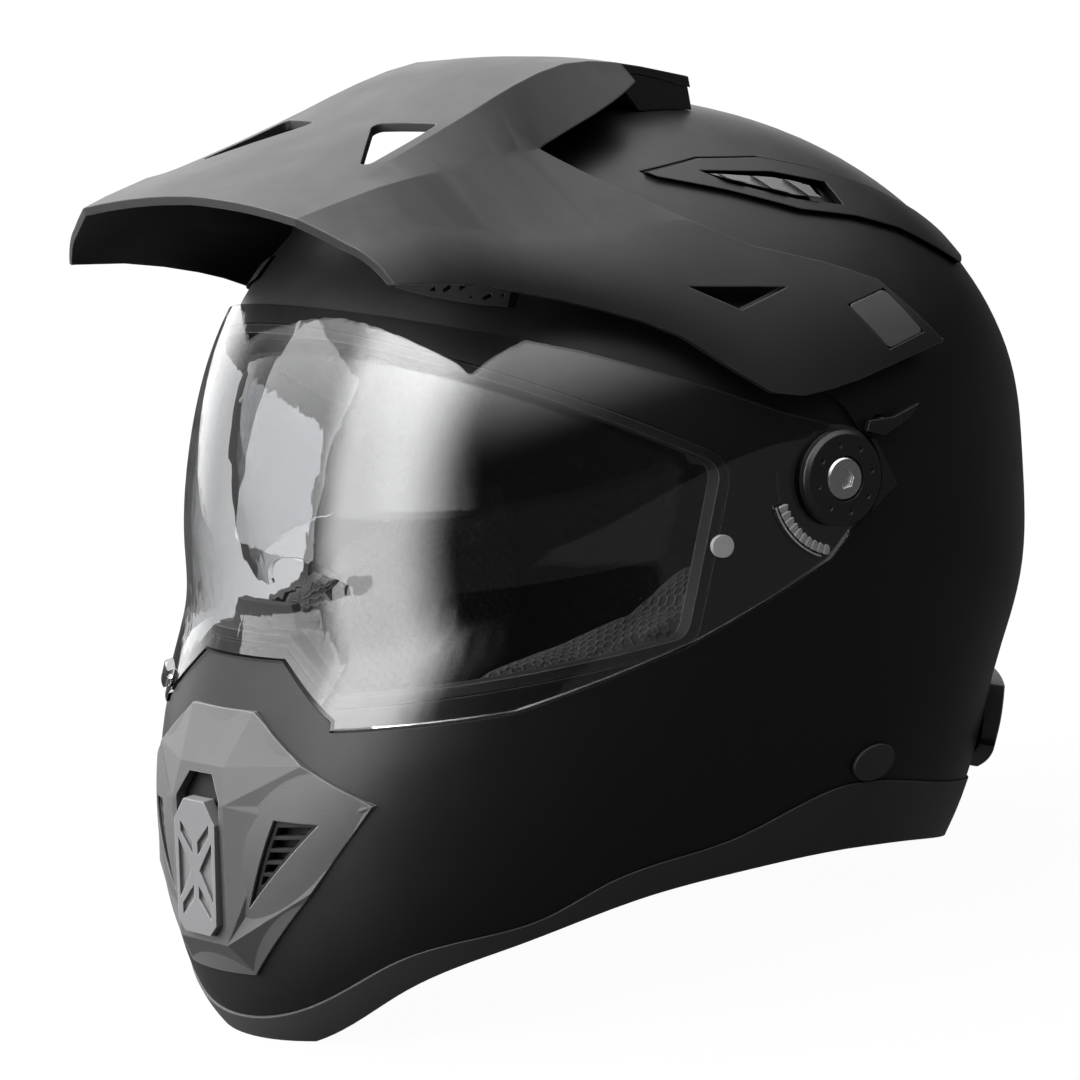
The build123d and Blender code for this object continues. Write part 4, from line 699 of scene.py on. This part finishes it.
def studio_sky():
    """World whose mirrored part gives the lens its light band, and whose plain part lights rough surfaces"""
    made = bpy.data.worlds.new("studio")
    made.use_nodes = True
    sky = made.node_tree
    sky.nodes.clear()
    rays = put(sky, "ShaderNodeLightPath").outputs
    bounces = sum_up(sky, "ADD", rays["Diffuse Depth"], rays["Glossy Depth"])
    refracted = sum_up(sky, "MULTIPLY", rays["Is Transmission Ray"], sum_up(sky, "LESS_THAN", bounces, 0.5))
    seen = sum_up(sky, "MAXIMUM", rays["Is Camera Ray"], refracted)
    direction = put(sky, "ShaderNodeTexCoord").outputs["Generated"]
    toward = put(sky, "ShaderNodeSeparateXYZ", Vector=direction).outputs
    ahead = span(sky, toward["Y"], 0.1, -0.35)
    raised = span(sky, toward["Z"], -0.6, -0.05)
    front = sum_up(sky, "MULTIPLY", ahead, raised)
    middle = sum_up(sky, "MULTIPLY", span(sky, toward["X"], -0.42, -0.16, 0.02, 1.0),
                    span(sky, toward["X"], 0.52, 0.14))
    wall = sum_up(sky, "MULTIPLY", middle, front)
    beside = sum_up(sky, "MULTIPLY", span(sky, toward["X"], -0.1, -0.75, 0.0, SIDE_LIGHT),
                    span(sky, toward["Y"], 0.5, -0.2))
    beside = sum_up(sky, "MULTIPLY", beside, raised)
    flank = sum_up(sky, "MULTIPLY", span(sky, toward["X"], -0.5, -0.8),
                   span(sky, toward["Y"], -0.35, 0.1, 0.0, FLANK_LIGHT))
    overhead = span(sky, toward["Z"], 0.3, 0.95, 0.0, TOP_LIGHT)
    mirrored = sum_up(sky, "ADD", sum_up(sky, "MULTIPLY", wall, WALL_IN_MIRRORS),
                      sum_up(sky, "ADD", flank, overhead))
    plain = sum_up(sky, "ADD", sum_up(sky, "ADD", sum_up(sky, "MULTIPLY", wall, WALL_ON_ROUGH), beside),
                   sum_up(sky, "MULTIPLY", overhead, TOP_ON_ROUGH))
    undiffused = sum_up(sky, "LESS_THAN", rays["Diffuse Depth"], 0.5)
    glossy = sum_up(sky, "MULTIPLY", sum_up(sky, "GREATER_THAN", rays["Glossy Depth"], 0.5), undiffused)
    level = put(sky, "ShaderNodeMix", {"data_type": "FLOAT"})
    for place_in_mix, value in ((0, glossy), (2, plain), (3, mirrored)):
        sky.links.new(value, level.inputs[place_in_mix])
    lit = sum_up(sky, "ADD", level.outputs[0], EVERYWHERE)
    soft = put(sky, "ShaderNodeBackground", Color=(1, 1, 1, 1), Strength=lit)
    white = put(sky, "ShaderNodeBackground", Color=(1, 1, 1, 1), Strength=1.0)
    mixed = put(sky, "ShaderNodeMixShader")
    sky.links.new(seen, mixed.inputs[0])
    sky.links.new(soft.outputs[0], mixed.inputs[1])
    sky.links.new(white.outputs[0], mixed.inputs[2])
    sky.links.new(mixed.outputs[0], put(sky, "ShaderNodeOutputWorld").inputs["Surface"])
    return made


scene.world = studio_sky()

# Lamps: two soft boxes aimed at the helmet's middle, which nothing shiny mirrors
CENTRE = Vector((0, -0.01, 0.15))
for name, where, size, power in (
    ("front_box", (-1.2, -1.5, 0.9), 1.4, 26),
    ("top_box", (-0.4, -0.3, 1.7), 1.2, 16),
):
    lamp = bpy.data.lights.new(name, "AREA")
    lamp.shape = "SQUARE"
    lamp.size = size
    lamp.energy = power
    held = link(bpy.data.objects.new(name, lamp))
    held.location = where
    held.rotation_euler = (CENTRE - Vector(where)).to_track_quat("-Z", "Y").to_euler()
    held.visible_glossy = False
